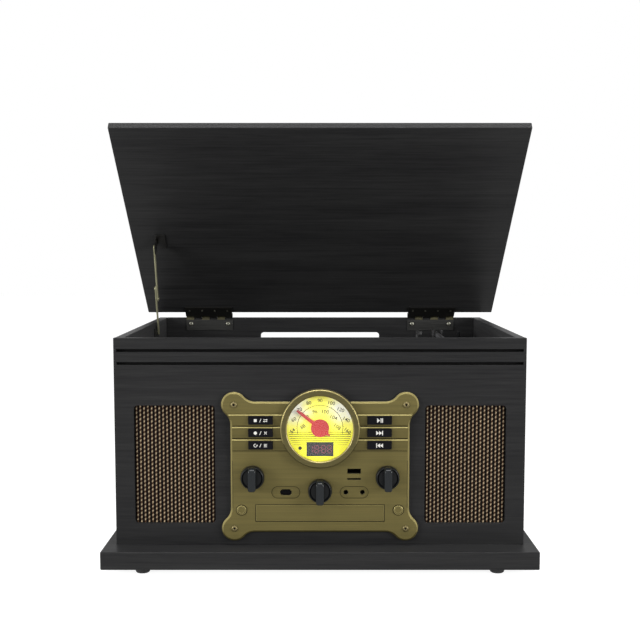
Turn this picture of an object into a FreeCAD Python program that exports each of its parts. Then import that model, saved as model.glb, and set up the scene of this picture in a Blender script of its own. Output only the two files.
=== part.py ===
import FreeCAD, Part

import math
import os
from types import SimpleNamespace

import Sketcher

# A cabinet record player with a radio dial, a disc drawer and two loudspeakers.
# X runs to the right, Y to the back and Z up. The origin is on the floor, under the middle of the plinth.
# Lengths are millimetres and angles are degrees. "rise" is a height above the piece's own seat.
SIZES = {
    # Cabinet and plinth
    "cabinet_width": 426,
    "cabinet_depth": 326,
    "cabinet_height": 217,
    "wall": 10,
    "plinth_side": 12,
    "plinth_front": 28,
    "plinth_height": 19,
    "foot_height": 7,
    "foot_radius": 7.5,
    "foot_round": 1.2,
    "foot_side_inset": 41,
    "foot_edge_inset": 18,
    "groove_end": 3,
    "groove_height": 3,
    "groove_depth": 6,
    "groove_drop": 12.8,
    "groove_pitch": 13.5,
    "rear_slot_width": 157,
    "rear_slot_height": 20,
    "rear_slot_round": 4.5,
    "rear_slot_drop": 19.3,
    "terminal_width": 92,
    "terminal_height": 34,
    "terminal_depth": 5,
    "terminal_inset": 78,
    "terminal_rise": 54,
    # Loudspeakers
    "grille_side": 20,
    "grille_height": 124,
    "grille_round": 4,
    "grille_gap": 16.3,
    "grille_rise": 85,
    "pocket_depth": 4,
    "cloth_thick": 2,
    "cloth_gap": 0.2,
    "speaker_margin": 1,
    "speaker_ring": 5,
    "speaker_depth": 40,
    "speaker_flange": 3,
    "cone_paper": 0.8,
    "cone_surround": 2,
    "magnet_inset": 13,
    # Control plate on the front
    "plate_half_width": 92.7,
    "plate_top": 151.4,
    "plate_bottom": 14.4,
    "plate_thick": 4,
    "plate_edge": 1.8,
    "screw_x": 89,
    "screw_top": 148.3,
    "screw_bottom": 18.3,
    "lobe_radius": 13.2,
    "blend_radius": 15,
    "control_opening": 88.5,
    "opening_top": 142,
    "opening_bottom": 22,
    "plate_screw_head": 3,
    "plate_screw_dome": 1.2,
    "plate_screw_shank": 1.5,
    "plate_screw_length": 10,
    "band_top": 138.5,
    "band_pitch": 13,
    "band_height": 11.9,
    "band_proud": 2.6,
    "band_lip": 0.5,
    "fit_gap": 0.3,
    # Radio dial
    "dial_rise": 124,
    "bezel_radius": 41,
    "bezel_wall": 5,
    "bezel_proud": 11,
    "bezel_chamfer": 1.2,
    "lip_width": 2,
    "glass_thick": 2,
    "dial_face_thick": 1.5,
    "dial_face_seat": 1.5,
    "display_width": 28,
    "display_height": 15,
    "display_drop": 22.2,
    "display_thick": 5,
    "pointer_length": 30,
    "pointer_hub": 9.3,
    "pointer_tail": 13.5,
    "needle_root": 4,
    "needle_tip": 2.6,
    "tail_root": 12,
    "pointer_thick": 1.5,
    "pointer_angle": 142,
    "pointer_shaft": 2,
    "drum_radius": 9,
    "tuning_pulley": 4.5,
    "cord_radial": 0.8,
    "drum_width": 4,
    "drum_back": 7,
    # Push buttons
    "button_width": 25,
    "button_height": 8.6,
    "button_x": 61.4,
    "button_proud": 8,
    "button_stem": 2,
    "button_flange": 1.2,
    "flange_rim": 1,
    "round_button_x": 81.5,
    "round_button_rise": 37.8,
    "round_button_radius": 5,
    "round_button_proud": 5.2,
    "switch_width": 6,
    "switch_depth": 4,
    "switch_gap": 2.2,
    # Knobs
    "knob_radius": 12.4,
    "knob_skirt": 4,
    "knob_bar_width": 8.7,
    "knob_bar_inset": 0.4,
    "knob_bar_proud": 12,
    "knob_side_x": 70,
    "knob_side_rise": 72.5,
    "knob_mid_rise": 58.6,
    "shaft_radius": 3,
    "running_gap": 0.05,
    "pot_radius": 8.5,
    "pot_depth": 9,
    "bush_radius": 4.6,
    "bush_length": 3,
    # Sockets and window on the plate
    "usb_x": 35.4,
    "usb_rise": 78.9,
    "usb_width": 14,
    "usb_height": 5.2,
    "card_rise": 70.7,
    "card_height": 1.8,
    "socket_wall": 0.8,
    "socket_depth": 14,
    "oval_x": 35.5,
    "oval_rise": 56.6,
    "oval_width": 29.4,
    "oval_height": 12.2,
    "oval_depth": 0.5,
    "window_width": 12.2,
    "window_height": 6.4,
    "window_thick": 3,
    "jack_pitch": 17.2,
    "jack_hole": 2.5,
    "jack_bore": 1.8,
    "jack_body": 4.2,
    # Disc drawer
    "drawer_width": 133,
    "drawer_height": 17,
    "drawer_rise": 34.7,
    "drawer_face": 4,
    "tray_side": 2.5,
    "tray_depth": 152,
    "tray_height": 10,
    "disc_recess": 60.5,
    "disc_sink": 3,
    "disc_from_face": 68,
    "housing_wall": 2.5,
    "housing_gap": 0.4,
    "housing_depth": 176,
    "housing_back": 1,
    "housing_head": 6,
    "rail_width": 12,
    # Circuit boards
    "board_thick": 1.6,
    "board_back": 0.5,
    "board_half_width": 86.5,
    "board_notch": 76,
    "board_top": 140,
    "board_bottom": 28,
    "board_notch_top": 50.5,
    "main_board_width": 120,
    "main_board_depth": 86,
    "main_board_inset": 12,
    "main_board_back": 19,
    "standoff_height": 7,
    "standoff_radius": 3.5,
    # Deck and record drive
    "deck_drop": 48,
    "deck_thick": 5,
    "deck_gap": 0.4,
    "batten": 15,
    "platter_radius": 98,
    "platter_height": 12,
    "platter_web": 3,
    "platter_skirt": 4,
    "platter_lift": 1.5,
    "hub_radius": 8,
    "belt_rim": 72,
    "belt_rim_wall": 4,
    "mat_radius": 95,
    "mat_thick": 2,
    "mat_hole": 4.4,
    "bearing_post": 4,
    "spindle_radius": 3.6,
    "spindle_rise": 26,
    "spindle_tip": 2,
    "bearing_radius": 6,
    "bearing_flange": 11,
    "bearing_drop": 8,
    "pulley_radius": 5,
    "pulley_distance": 83,
    "pulley_bearing": 215,
    "pulley_hole": 9,
    "belt_thick": 0.8,
    "belt_gap": 0.3,
    "belt_width": 4,
    "belt_rise": 4,
    "motor_radius": 14,
    "motor_depth": 24,
    "motor_shaft": 1,
    # Tone arm
    "arm_inset": 53,
    "arm_back": 42,
    "arm_rise": 29,
    "arm_tube": 3.2,
    "arm_overhang": 8,
    "stylus_park": 42,
    "arm_tail": 14,
    "arm_base_radius": 17,
    "arm_base_top": 14,
    "arm_base_height": 17,
    "yoke_width": 13,
    "yoke_depth": 16,
    "yoke_slot": 8,
    "yoke_top": 6.5,
    "yoke_post": 3,
    "yoke_post_depth": 12,
    "arm_pin": 1.5,
    "guard_radius": 27,
    "guard_wall": 4,
    "guard_height": 4,
    "guard_start_angle": 152,
    "guard_sweep_angle": 58,
    "shell_length": 42,
    "shell_width": 17,
    "shell_thick": 4,
    "cartridge_width": 11,
    "cartridge_length": 20,
    "cartridge_height": 7,
    "stylus_height": 4.4,
    "stylus_radius": 1,
    "rest_ahead": 37.5,
    "rest_radius": 4,
    "rest_width": 14,
    "rest_prong": 3,
    "cue_inset": 25,
    "cue_behind": 3,
    "cue_base_height": 10,
    "cue_base_width": 12,
    "cue_lever_thick": 3,
    "cue_lever_rise": 33,
    "cue_pin": 1.5,
    "speed_inset": 25,
    "speed_front": 76.5,
    "speed_travel": 14,
    "speed_knob": 8,
    "speed_height": 6,
    "speed_stem": 3,
    # Lid, hinges and stay
    "lid_side": 12,
    "lid_front": 5,
    "lid_thick": 8,
    "lid_open": 39.7,
    "lid_rear_gap": 10.5,
    "hinge_lift": 3.3,
    "hinge_inset": 67.2,
    "hinge_width": 61,
    "knuckle_radius": 3,
    "knuckle_count": 6,
    "knuckle_gap": 0.3,
    "leaf_thick": 1.2,
    "body_leaf_height": 14,
    "body_leaf_drop": 2.5,
    "lid_leaf_depth": 12,
    "pin_radius": 1.5,
    "hinge_screw_spread": 24.3,
    "hinge_screw_drop": 8,
    "hinge_screw_radius": 3,
    "hinge_screw_dome": 1.8,
    "lid_screw_spread": 16.4,
    "lid_screw_radius": 1.4,
    "lid_screw_dome": 0.9,
    "stay_back": 90,
    "stay_drop": 12,
    "stay_bracket_length": 34,
    "stay_bracket_height": 11,
    "stay_bracket_thick": 1.2,
    "stay_reach": 156,
    "stay_below_lid": 10,
    "stay_lug_width": 12,
    "bar_width": 6,
    "bar_thick": 1.4,
    "bar_gap": 0.4,
    "bar_stand_off": 1.2,
    "lower_bar_length": 61.5,
    "upper_bar_length": 69.5,
    "stay_pin": 1.6,
    "bar_hole_gap": 0.05,
}

doc = FreeCAD.newDocument("record_player")
sheet = doc.addObject("Spreadsheet::Sheet", "sizes")
for row, (size_name, size_value) in enumerate(SIZES.items(), start=1):
    sheet.set(f"A{row}", size_name)
    sheet.set(f"B{row}", str(size_value))
    sheet.setAlias(f"B{row}", size_name)
doc.recompute()


class Size:
    """A size that carries its number and its formula on the sheet."""

    def __init__(self, value, formula):
        self.value = value
        self.formula = formula

    def __add__(self, other):
        other = as_size(other)
        return Size(self.value + other.value, f"({self.formula} + {other.formula})")

    def __sub__(self, other):
        other = as_size(other)
        return Size(self.value - other.value, f"({self.formula} - {other.formula})")

    def __mul__(self, other):
        other = as_size(other)
        return Size(self.value * other.value, f"({self.formula} * {other.formula})")

    def __truediv__(self, other):
        other = as_size(other)
        return Size(self.value / other.value, f"({self.formula} / {other.formula})")

    def __neg__(self):
        return self * -1

    def __radd__(self, other):
        return as_size(other) + self

    def __rsub__(self, other):
        return as_size(other) - self

    def __rmul__(self, other):
        return as_size(other) * self


def as_size(number):
    if isinstance(number, Size):
        return number
    return Size(float(number), f"({float(number)!r})")


def root(size):
    return Size(math.sqrt(size.value), f"sqrt({size.formula})")


d = SimpleNamespace(**{name: Size(float(sheet.get(name)), f"sizes.{name}") for name in SIZES})

# How a piece that is drawn flat, with its thickness along its own Z, is turned into place
FACING = {
    "up": FreeCAD.Rotation(),
    "front": FreeCAD.Rotation(FreeCAD.Vector(1, 0, 0), 90),
    "back": FreeCAD.Rotation(FreeCAD.Vector(1, 0, 0), -90),
    "right": FreeCAD.Rotation(FreeCAD.Vector(1, 1, 1), 120),
}


def about_z(angle):
    return FreeCAD.Rotation(FreeCAD.Vector(0, 0, 1), angle)


def vector(point):
    return FreeCAD.Vector(*(as_size(part).value for part in point))


def place(piece, at, turn=FACING["up"]):
    piece.Placement = FreeCAD.Placement(vector(at), turn)
    for axis, size in zip("xyz", at):
        piece.setExpression(f"Placement.Base.{axis}", as_size(size).formula)
    return piece


def box(size, at):
    piece = doc.addObject("Part::Box", "block")
    for name, side in zip(("Length", "Width", "Height"), size):
        piece.setExpression(name, as_size(side).formula)
    return place(piece, at)


def middle_box(size, at):
    # A box that is centred on its place in X and Z and starts at it in Y
    width, depth, height = size
    x, y, z = at
    return box(size, (x - width / 2, y, z - height / 2))


def rod(radius, length, at, facing="up"):
    piece = doc.addObject("Part::Cylinder", "rod")
    piece.setExpression("Radius", as_size(radius).formula)
    piece.setExpression("Height", as_size(length).formula)
    return place(piece, at, FACING[facing])


def fuse(*pieces):
    whole = doc.addObject("Part::MultiFuse", "joined")
    whole.Shapes = list(pieces)
    whole.Refine = True
    return whole


def cut(base, *tools):
    piece = doc.addObject("Part::Cut", "cut")
    piece.Base = base
    piece.Tool = tools[0] if len(tools) == 1 else fuse(*tools)
    return piece


def overlap(first, second):
    piece = doc.addObject("Part::MultiCommon", "overlap")
    piece.Shapes = [first, second]
    return piece


def group(*pieces):
    whole = doc.addObject("Part::Compound", "set")
    whole.Links = list(pieces)
    return whole


def sketch_on(body, role):
    sketch = body.newObject("Sketcher::SketchObject", "outline")
    plane = next(item for item in body.Origin.OriginFeatures if item.Role == role)
    sketch.AttachmentSupport = (plane, [""])
    sketch.MapMode = "FlatFace"
    return sketch


def draw(sketch, points):
    # A closed outline of straight lines, with each corner held at its two distances from the origin
    count = len(points)
    corners = [FreeCAD.Vector(as_size(across).value, as_size(up).value, 0) for across, up in points]
    for index, corner in enumerate(corners):
        sketch.addGeometry(Part.LineSegment(corner, corners[(index + 1) % count]), False)
    for index in range(count):
        sketch.addConstraint(Sketcher.Constraint("Coincident", index, 2, (index + 1) % count, 1))
    for index, (across, up) in enumerate(points):
        for kind, size in (("DistanceX", as_size(across)), ("DistanceY", as_size(up))):
            held = sketch.addConstraint(Sketcher.Constraint(kind, -1, 1, index, 1, size.value))
            sketch.setExpression(f"Constraints[{held}]", size.formula)


def slab(points, thick, at, facing="up", corner=None):
    # A flat piece padded from its outline, with its upright edges rounded where a corner is given
    body = doc.addObject("PartDesign::Body", "slab")
    sketch = sketch_on(body, "XY_Plane")
    draw(sketch, points)
    pad = body.newObject("PartDesign::Pad", "pad")
    pad.Profile = sketch
    pad.setExpression("Length", as_size(thick).formula)
    if corner is not None:
        doc.recompute()
        upright = [
            f"Edge{number}"
            for number, edge in enumerate(pad.Shape.Edges, start=1)
            if abs(edge.tangentAt(edge.FirstParameter).z) > 0.99
        ]
        rounds = body.newObject("PartDesign::Fillet", "rounds")
        rounds.Base = (pad, upright)
        rounds.setExpression("Radius", as_size(corner).formula)
    return place(body, at, FACING[facing])


def panel(width, height, thick, at, facing="front", corner=None):
    # A rectangle centred on its place
    across, up = width / 2, height / 2
    points = [(-across, -up), (across, -up), (across, up), (-across, up)]
    return slab(points, thick, at, facing, corner)


def turned(profile, at, facing="up"):
    # A round piece from (radius, height) points, turned about its own Z
    body = doc.addObject("PartDesign::Body", "turned")
    sketch = sketch_on(body, "XZ_Plane")
    draw(sketch, profile)
    spin = body.newObject("PartDesign::Revolution", "spin")
    spin.Profile = sketch
    spin.ReferenceAxis = (sketch, ["V_Axis"])
    spin.Angle = 360
    return place(body, at, FACING[facing])


def oval(width, height, thick, at):
    # A slot with round ends on the front, its thickness towards the front
    x, y, z = at
    reach = (width - height) / 2
    middle = middle_box((width - height, thick, height), (x, y - thick, z))
    ends = [rod(height / 2, thick, (x + side * reach, y, z), "front") for side in (-1, 1)]
    return fuse(middle, *ends)


def loop_band(far_point, radii, thick, width, at, facing="up"):
    # An endless band around a round at its place and another at far_point from there
    near_radius, far_radius = (size.value for size in radii)
    span = math.hypot(*far_point)
    heading = math.degrees(math.atan2(far_point[1], far_point[0]))
    lean = math.asin((near_radius - far_radius) / span)

    def outline(grow):
        near = near_radius + grow
        far = far_radius + grow
        across, up = math.sin(lean), math.cos(lean)
        top_near = FreeCAD.Vector(near * across, near * up, 0)
        top_far = FreeCAD.Vector(span + far * across, far * up, 0)
        low_near = FreeCAD.Vector(near * across, -near * up, 0)
        low_far = FreeCAD.Vector(span + far * across, -far * up, 0)
        return Part.Wire([
            Part.LineSegment(top_near, top_far).toShape(),
            Part.Arc(top_far, FreeCAD.Vector(span + far, 0, 0), low_far).toShape(),
            Part.LineSegment(low_far, low_near).toShape(),
            Part.Arc(low_near, FreeCAD.Vector(-near, 0, 0), top_near).toShape(),
        ])

    rise = FreeCAD.Vector(0, 0, width.value)
    band = Part.Face(outline(thick.value)).extrude(rise).cut(Part.Face(outline(0)).extrude(rise))
    return shaped(band, at, FACING[facing] * about_z(heading))


def shaped(shape, at, turn=FACING["up"]):
    piece = doc.addObject("Part::Feature", "shaped")
    piece.Shape = shape
    return place(piece, at, turn)


nodes = []


def node(name, piece):
    piece.Label = name
    nodes.append(piece)
    return piece


# Places that several pieces share
half_width = d.cabinet_width / 2
inner_half = half_width - d.wall
plinth_width = d.cabinet_width + 2 * d.plinth_side
plinth_depth = d.cabinet_depth + d.plinth_front
front_y = d.plinth_front - plinth_depth / 2
back_y = plinth_depth / 2
inner_front = front_y + d.wall
inner_back = back_y - d.wall
base_z = d.foot_height + d.plinth_height
rim_z = base_z + d.cabinet_height
deck_z = rim_z - d.deck_drop
plate_y = front_y - d.plate_thick
board_y = inner_front + d.board_back
sides = (-1, 1)

# Places across the cabinet, each from the wall or the plate that it keeps to
groove_width = d.cabinet_width - 2 * d.groove_end
grille_width = half_width - d.grille_side - d.plate_half_width - d.grille_gap
grille_x = d.plate_half_width + d.grille_gap + grille_width / 2
speaker_radius = grille_width / 2 - d.speaker_margin
speaker_hole = speaker_radius - d.speaker_ring
magnet_radius = speaker_radius - d.magnet_inset
terminal_x = inner_half - d.terminal_inset
main_board_x = inner_half - d.main_board_inset - d.main_board_width
arm_x = inner_half - d.arm_inset
cue_x = inner_half - d.cue_inset
speed_x = inner_half - d.speed_inset
hinge_x = half_width - d.hinge_inset

# Places from front to back. The parked stylus and the pivot set the arm's length, and the spindle stands
# where the stylus would swing just past it
deck_front = board_y + d.board_thick + d.deck_gap
main_board_y = inner_back - d.main_board_back - d.main_board_depth
arm_y = inner_back - d.arm_back
cue_y = arm_y + d.cue_behind
speed_y = deck_front + d.speed_front
stay_y = inner_back - d.stay_back
lid_depth = d.cabinet_depth + d.lid_front
stylus_y = deck_front + d.stylus_park
swing = arm_y - stylus_y - d.arm_overhang
platter_y = (inner_front + inner_back) / 2
spindle_ahead = arm_y - platter_y
platter_x = arm_x - root(swing * swing - spindle_ahead * spindle_ahead)

# Plinth and feet
plinth_at = (-plinth_width / 2, -plinth_depth / 2, d.foot_height)
node("plinth", box((plinth_width, plinth_depth, d.plinth_height), plinth_at))

foot_profile = [
    (0, 0),
    (d.foot_radius - d.foot_round, 0),
    (d.foot_radius, d.foot_round),
    (d.foot_radius, d.foot_height),
    (0, d.foot_height),
]
foot_x = plinth_width / 2 - d.foot_side_inset
foot_y = plinth_depth / 2 - d.foot_edge_inset
feet = [turned(foot_profile, (side * foot_x, end * foot_y, 0)) for side in sides for end in sides]
node("feet", group(*feet))

# Cabinet panels
side_depth = d.cabinet_depth - d.wall
for name, left in (("left_side_panel", -half_width), ("right_side_panel", inner_half)):
    node(name, box((d.wall, side_depth, d.cabinet_height), (left, inner_front, base_z)))

grille_z = base_z + d.grille_rise
cuts = []
for side in sides:
    place_in_panel = (side * grille_x, front_y + d.pocket_depth, grille_z)
    cuts.append(panel(grille_width, d.grille_height, d.pocket_depth, place_in_panel, corner=d.grille_round))
    cuts.append(rod(speaker_hole, d.wall, (side * grille_x, inner_front, grille_z), "front"))
for number in range(2):
    groove_z = rim_z - d.groove_drop - number * d.groove_pitch
    cuts.append(middle_box((groove_width, d.groove_depth, d.groove_height), (0, front_y, groove_z)))
opening_height = d.opening_top - d.opening_bottom
opening_z = base_z + (d.opening_top + d.opening_bottom) / 2
cuts.append(middle_box((2 * d.control_opening, d.wall, opening_height), (0, front_y, opening_z)))
screw_hole = d.plate_screw_shank + d.running_gap
for side in sides:
    for screw_rise in (d.screw_top, d.screw_bottom):
        cuts.append(rod(screw_hole, d.wall, (side * d.screw_x, inner_front, base_z + screw_rise), "front"))
front_blank = box((d.cabinet_width, d.wall, d.cabinet_height), (-half_width, front_y, base_z))
node("front_panel", cut(front_blank, *cuts))

# The back has a rounded slot near its top and a sunk field for the sockets
slot_z = rim_z - d.rear_slot_drop - d.rear_slot_height / 2
terminal_z = base_z + d.terminal_rise
terminal_floor = back_y - d.terminal_depth
inlet_x = terminal_x + d.terminal_width / 4
line_x = terminal_x - d.terminal_width / 4
inlet_width, inlet_height, inlet_wall, inlet_depth = 22, 14, 2.5, 18
line_radius, line_pitch, line_bore, line_depth = 4.2, 20, 1.6, 14
rear_cuts = [
    panel(d.rear_slot_width, d.rear_slot_height, d.wall, (0, back_y, slot_z), corner=d.rear_slot_round),
    middle_box(
        (d.terminal_width, d.terminal_depth, d.terminal_height),
        (terminal_x, terminal_floor, terminal_z),
    ),
    middle_box((inlet_width, d.wall, inlet_height), (inlet_x, inner_back, terminal_z)),
]
for side in sides:
    socket_x = line_x + side * line_pitch / 2
    rear_cuts.append(rod(line_radius + d.running_gap, d.wall, (socket_x, inner_back, terminal_z), "back"))
back_blank = box((2 * inner_half, d.wall, d.cabinet_height), (-inner_half, inner_back, base_z))
node("back_panel", cut(back_blank, *rear_cuts))

inlet_start = terminal_floor - inlet_depth + d.terminal_depth / 2
inlet = cut(
    middle_box((inlet_width, inlet_depth, inlet_height), (inlet_x, inlet_start, terminal_z)),
    middle_box(
        (inlet_width - 2 * inlet_wall, inlet_depth, inlet_height - 2 * inlet_wall),
        (inlet_x, inlet_start + inlet_wall, terminal_z),
    ),
)
line_sockets = []
for side in sides:
    socket_y = terminal_floor - line_depth + d.terminal_depth / 2
    socket_at = (line_x + side * line_pitch / 2, socket_y, terminal_z)
    bore_at = (socket_at[0], socket_at[1] + inlet_wall, terminal_z)
    barrel = rod(line_radius, line_depth, socket_at, "back")
    line_sockets.append(cut(barrel, rod(line_bore, line_depth, bore_at, "back")))
node("rear_sockets", group(inlet, *line_sockets))

# Deck, battens and what stands still on the deck; its front edge lies behind the control board
deck_width = 2 * (inner_half - d.deck_gap)
deck_depth = inner_back - d.deck_gap - deck_front
platter_at = (platter_x, platter_y, deck_z)
pulley_bearing = math.radians(d.pulley_bearing.value)
pulley_x = platter_x + d.pulley_distance * math.cos(pulley_bearing)
pulley_y = platter_y + d.pulley_distance * math.sin(pulley_bearing)
deck_under = deck_z - d.deck_thick
deck_blank = box((deck_width, deck_depth, d.deck_thick), (-deck_width / 2, deck_front, deck_under))
speed_slot = d.speed_travel + d.speed_stem + 2 * d.fit_gap
deck_cuts = [
    rod(d.bearing_radius + d.running_gap, d.deck_thick, (platter_x, platter_y, deck_under)),
    rod(d.pulley_hole, d.deck_thick, (pulley_x, pulley_y, deck_under)),
    box(
        (d.speed_stem + 2 * d.fit_gap, speed_slot, d.deck_thick),
        (speed_x - d.speed_stem / 2 - d.fit_gap, speed_y - d.speed_stem / 2 - d.fit_gap, deck_under),
    ),
]
cue_pin_z = deck_z + d.cue_base_height - 3 * d.cue_pin
cue_slot = d.cue_lever_thick + 2 * d.fit_gap
cue_lugs = cut(
    box(
        (d.cue_base_width, d.cue_base_width, d.cue_base_height),
        (cue_x - d.cue_base_width / 2, cue_y - d.cue_base_width / 2, deck_z),
    ),
    box(
        (cue_slot, 2 * d.cue_base_width, d.cue_base_height),
        (cue_x - cue_slot / 2, cue_y - d.cue_base_width, deck_z + d.cue_lever_thick / 2),
    ),
    rod(
        d.cue_pin + d.running_gap,
        d.cue_base_width,
        (cue_x - d.cue_base_width / 2, cue_y, cue_pin_z),
        "right",
    ),
)
node("deck_plate", fuse(cut(deck_blank, *deck_cuts), cue_lugs))

battens = []
for left in (-inner_half, inner_half - d.batten):
    battens.append(box((d.batten, deck_depth, d.batten), (left, deck_front, deck_under - d.batten)))
node("deck_battens", group(*battens))

spindle_profile = [
    (0, -d.deck_thick - d.bearing_drop),
    (d.bearing_flange, -d.deck_thick - d.bearing_drop),
    (d.bearing_flange, -d.deck_thick),
    (d.bearing_radius, -d.deck_thick),
    (d.bearing_radius, d.platter_lift - d.belt_gap),
    (d.bearing_post, d.platter_lift - d.belt_gap),
    (d.bearing_post, d.platter_height + d.mat_thick),
    (d.spindle_radius, d.platter_height + d.mat_thick),
    (d.spindle_radius, d.spindle_rise - d.spindle_tip),
    (d.spindle_radius - d.spindle_tip, d.spindle_rise),
    (0, d.spindle_rise),
]
node("spindle", turned(spindle_profile, platter_at))

motor_bore = d.motor_shaft + d.running_gap
motor_profile = [
    (0, -d.motor_depth),
    (d.motor_radius, -d.motor_depth),
    (d.motor_radius, 0),
    (motor_bore, 0),
    (motor_bore, -d.motor_depth / 2),
    (0, -d.motor_depth / 2),
]
node("motor", turned(motor_profile, (pulley_x, pulley_y, deck_z - d.deck_thick)))

# Platter with a hanging rim that the belt runs on
hub_bore = d.bearing_post + d.running_gap
web_z = d.platter_height - d.platter_web
platter_profile = [
    (hub_bore, d.platter_lift),
    (d.hub_radius, d.platter_lift),
    (d.hub_radius, web_z),
    (d.belt_rim - d.belt_rim_wall, web_z),
    (d.belt_rim - d.belt_rim_wall, d.belt_rise - 1),
    (d.belt_rim, d.belt_rise - 1),
    (d.belt_rim, web_z),
    (d.platter_radius - d.platter_skirt, web_z),
    (d.platter_radius - d.platter_skirt, d.belt_rise),
    (d.platter_radius, d.belt_rise),
    (d.platter_radius, d.platter_height),
    (hub_bore, d.platter_height),
]
node("platter", turned(platter_profile, platter_at))
mat_profile = [
    (d.mat_hole, 0),
    (d.mat_radius, 0),
    (d.mat_radius, d.mat_thick),
    (d.mat_hole, d.mat_thick),
]
node("platter_mat", turned(mat_profile, (platter_x, platter_y, deck_z + d.platter_height)))

pulley_profile = [
    (0, -d.deck_thick - d.motor_depth / 2 + 1),
    (d.motor_shaft, -d.deck_thick - d.motor_depth / 2 + 1),
    (d.motor_shaft, d.belt_rise - 1),
    (d.pulley_radius, d.belt_rise - 1),
    (d.pulley_radius, d.belt_rise + d.belt_width + 0.5),
    (0, d.belt_rise + d.belt_width + 0.5),
]
node("motor_pulley", turned(pulley_profile, (pulley_x, pulley_y, deck_z)))

belt_far = ((pulley_x - platter_x).value, (pulley_y - platter_y).value)
belt = loop_band(
    belt_far,
    (d.belt_rim + d.belt_gap, d.pulley_radius + d.belt_gap),
    d.belt_thick,
    d.belt_width,
    (platter_x, platter_y, deck_z + d.belt_rise),
)
node("drive_belt", belt)

# Tone arm: base with a curved guard, turning yoke, lifting tube with its head shell, rest and cue lever
arm_z = deck_z + d.arm_rise
post_bore = d.yoke_post + d.running_gap
base_profile = [
    (post_bore, 0),
    (d.arm_base_radius, 0),
    (d.arm_base_top, d.arm_base_height),
    (post_bore, d.arm_base_height),
]
guard_z = arm_z + d.arm_tube + d.guard_wall / 2 - d.guard_height
guard_at = (arm_x, arm_y, guard_z)
guard_sector = rod(d.guard_radius, d.guard_height, guard_at)
guard_sector.setExpression("Angle", d.guard_sweep_angle.formula)
place(guard_sector, guard_at, about_z(d.guard_start_angle.value))
guard_piece = cut(guard_sector, rod(d.guard_radius - d.guard_wall, d.guard_height, guard_at))
guard_post_x = arm_x - d.guard_radius + d.guard_wall / 2
guard_post = rod(d.guard_wall / 2, guard_z - deck_z + d.guard_height / 2, (guard_post_x, arm_y, deck_z))
guard_foot = box(
    (d.guard_radius - d.guard_wall / 2, d.guard_wall, d.guard_wall),
    (guard_post_x, arm_y - d.guard_wall / 2, deck_z),
)
guard_bore = rod(post_bore, d.arm_base_height, (arm_x, arm_y, deck_z))
arm_base = fuse(turned(base_profile, (arm_x, arm_y, deck_z)), guard_piece, guard_post, guard_foot)
node("tonearm_base", cut(arm_base, guard_bore))

yoke_z = deck_z + d.arm_base_height + d.fit_gap
yoke_height = arm_z + d.yoke_top - yoke_z
slot_floor = arm_z - d.arm_tube - d.fit_gap
yoke = fuse(
    box(
        (d.yoke_width, d.yoke_depth, yoke_height),
        (arm_x - d.yoke_width / 2, arm_y - d.yoke_depth / 2, yoke_z),
    ),
    rod(d.yoke_post, d.yoke_post_depth, (arm_x, arm_y, yoke_z - d.yoke_post_depth)),
)
yoke_slot = box(
    (d.yoke_slot, 2 * d.yoke_depth, yoke_height),
    (arm_x - d.yoke_slot / 2, arm_y - d.yoke_depth, slot_floor - d.yoke_depth / 6),
)
yoke_left = arm_x - d.yoke_width / 2
pin_bore = rod(d.arm_pin + d.running_gap, d.yoke_width, (yoke_left, arm_y, arm_z), "right")
node("tonearm_yoke", cut(yoke, yoke_slot, pin_bore))

shell_y = stylus_y - d.cartridge_length / 2
tube_start = shell_y + d.shell_length
rest_y = tube_start + d.rest_ahead
arm_tube = fuse(
    rod(d.arm_tube, arm_y + d.arm_tail - tube_start, (arm_x, tube_start, arm_z), "back"),
    rod(d.arm_pin, d.yoke_width, (yoke_left, arm_y, arm_z), "right"),
)
node("tonearm_tube", arm_tube)

shell_top = arm_z + d.shell_thick / 2
cartridge_z = shell_top - d.shell_thick - d.cartridge_height
shell_half = d.shell_width / 2
shell_outline = [
    (-shell_half, 0),
    (shell_half, 0),
    (shell_half, d.shell_length * 0.6),
    (d.arm_tube, d.shell_length),
    (-d.arm_tube, d.shell_length),
    (-shell_half, d.shell_length * 0.6),
]
headshell = fuse(
    slab(shell_outline, d.shell_thick, (arm_x, shell_y, shell_top - d.shell_thick)),
    box(
        (d.cartridge_width, d.cartridge_length, d.cartridge_height),
        (arm_x - d.cartridge_width / 2, stylus_y - d.cartridge_length / 4, cartridge_z),
    ),
    rod(d.stylus_radius, d.stylus_height, (arm_x, stylus_y, cartridge_z - d.stylus_height)),
)
node("headshell", headshell)

rest_z = arm_z - d.arm_tube - d.fit_gap
arm_rest = fuse(
    rod(d.rest_radius, rest_z - deck_z, (arm_x, rest_y, deck_z)),
    box(
        (d.rest_width, 2 * d.rest_radius, d.rest_prong),
        (arm_x - d.rest_width / 2, rest_y - d.rest_radius, rest_z - d.rest_prong),
    ),
    box(
        (d.rest_prong, 2 * d.rest_radius, d.rest_prong + 2 * d.arm_tube),
        (arm_x + d.rest_width / 2, rest_y - d.rest_radius, rest_z - d.rest_prong),
    ),
)
node("arm_rest", arm_rest)

cue_lever = fuse(
    box(
        (d.cue_lever_thick, 2 * d.cue_lever_thick, d.cue_lever_rise - d.cue_base_height + 3 * d.cue_pin),
        (cue_x - d.cue_lever_thick / 2, cue_y - d.cue_lever_thick, cue_pin_z),
    ),
    rod(
        d.cue_lever_thick,
        d.cue_lever_thick,
        (cue_x - d.cue_lever_thick / 2, cue_y, cue_pin_z),
        "right",
    ),
    rod(d.cue_pin, d.cue_base_width, (cue_x - d.cue_base_width / 2, cue_y, cue_pin_z), "right"),
)
node("cue_lever", cue_lever)

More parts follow.
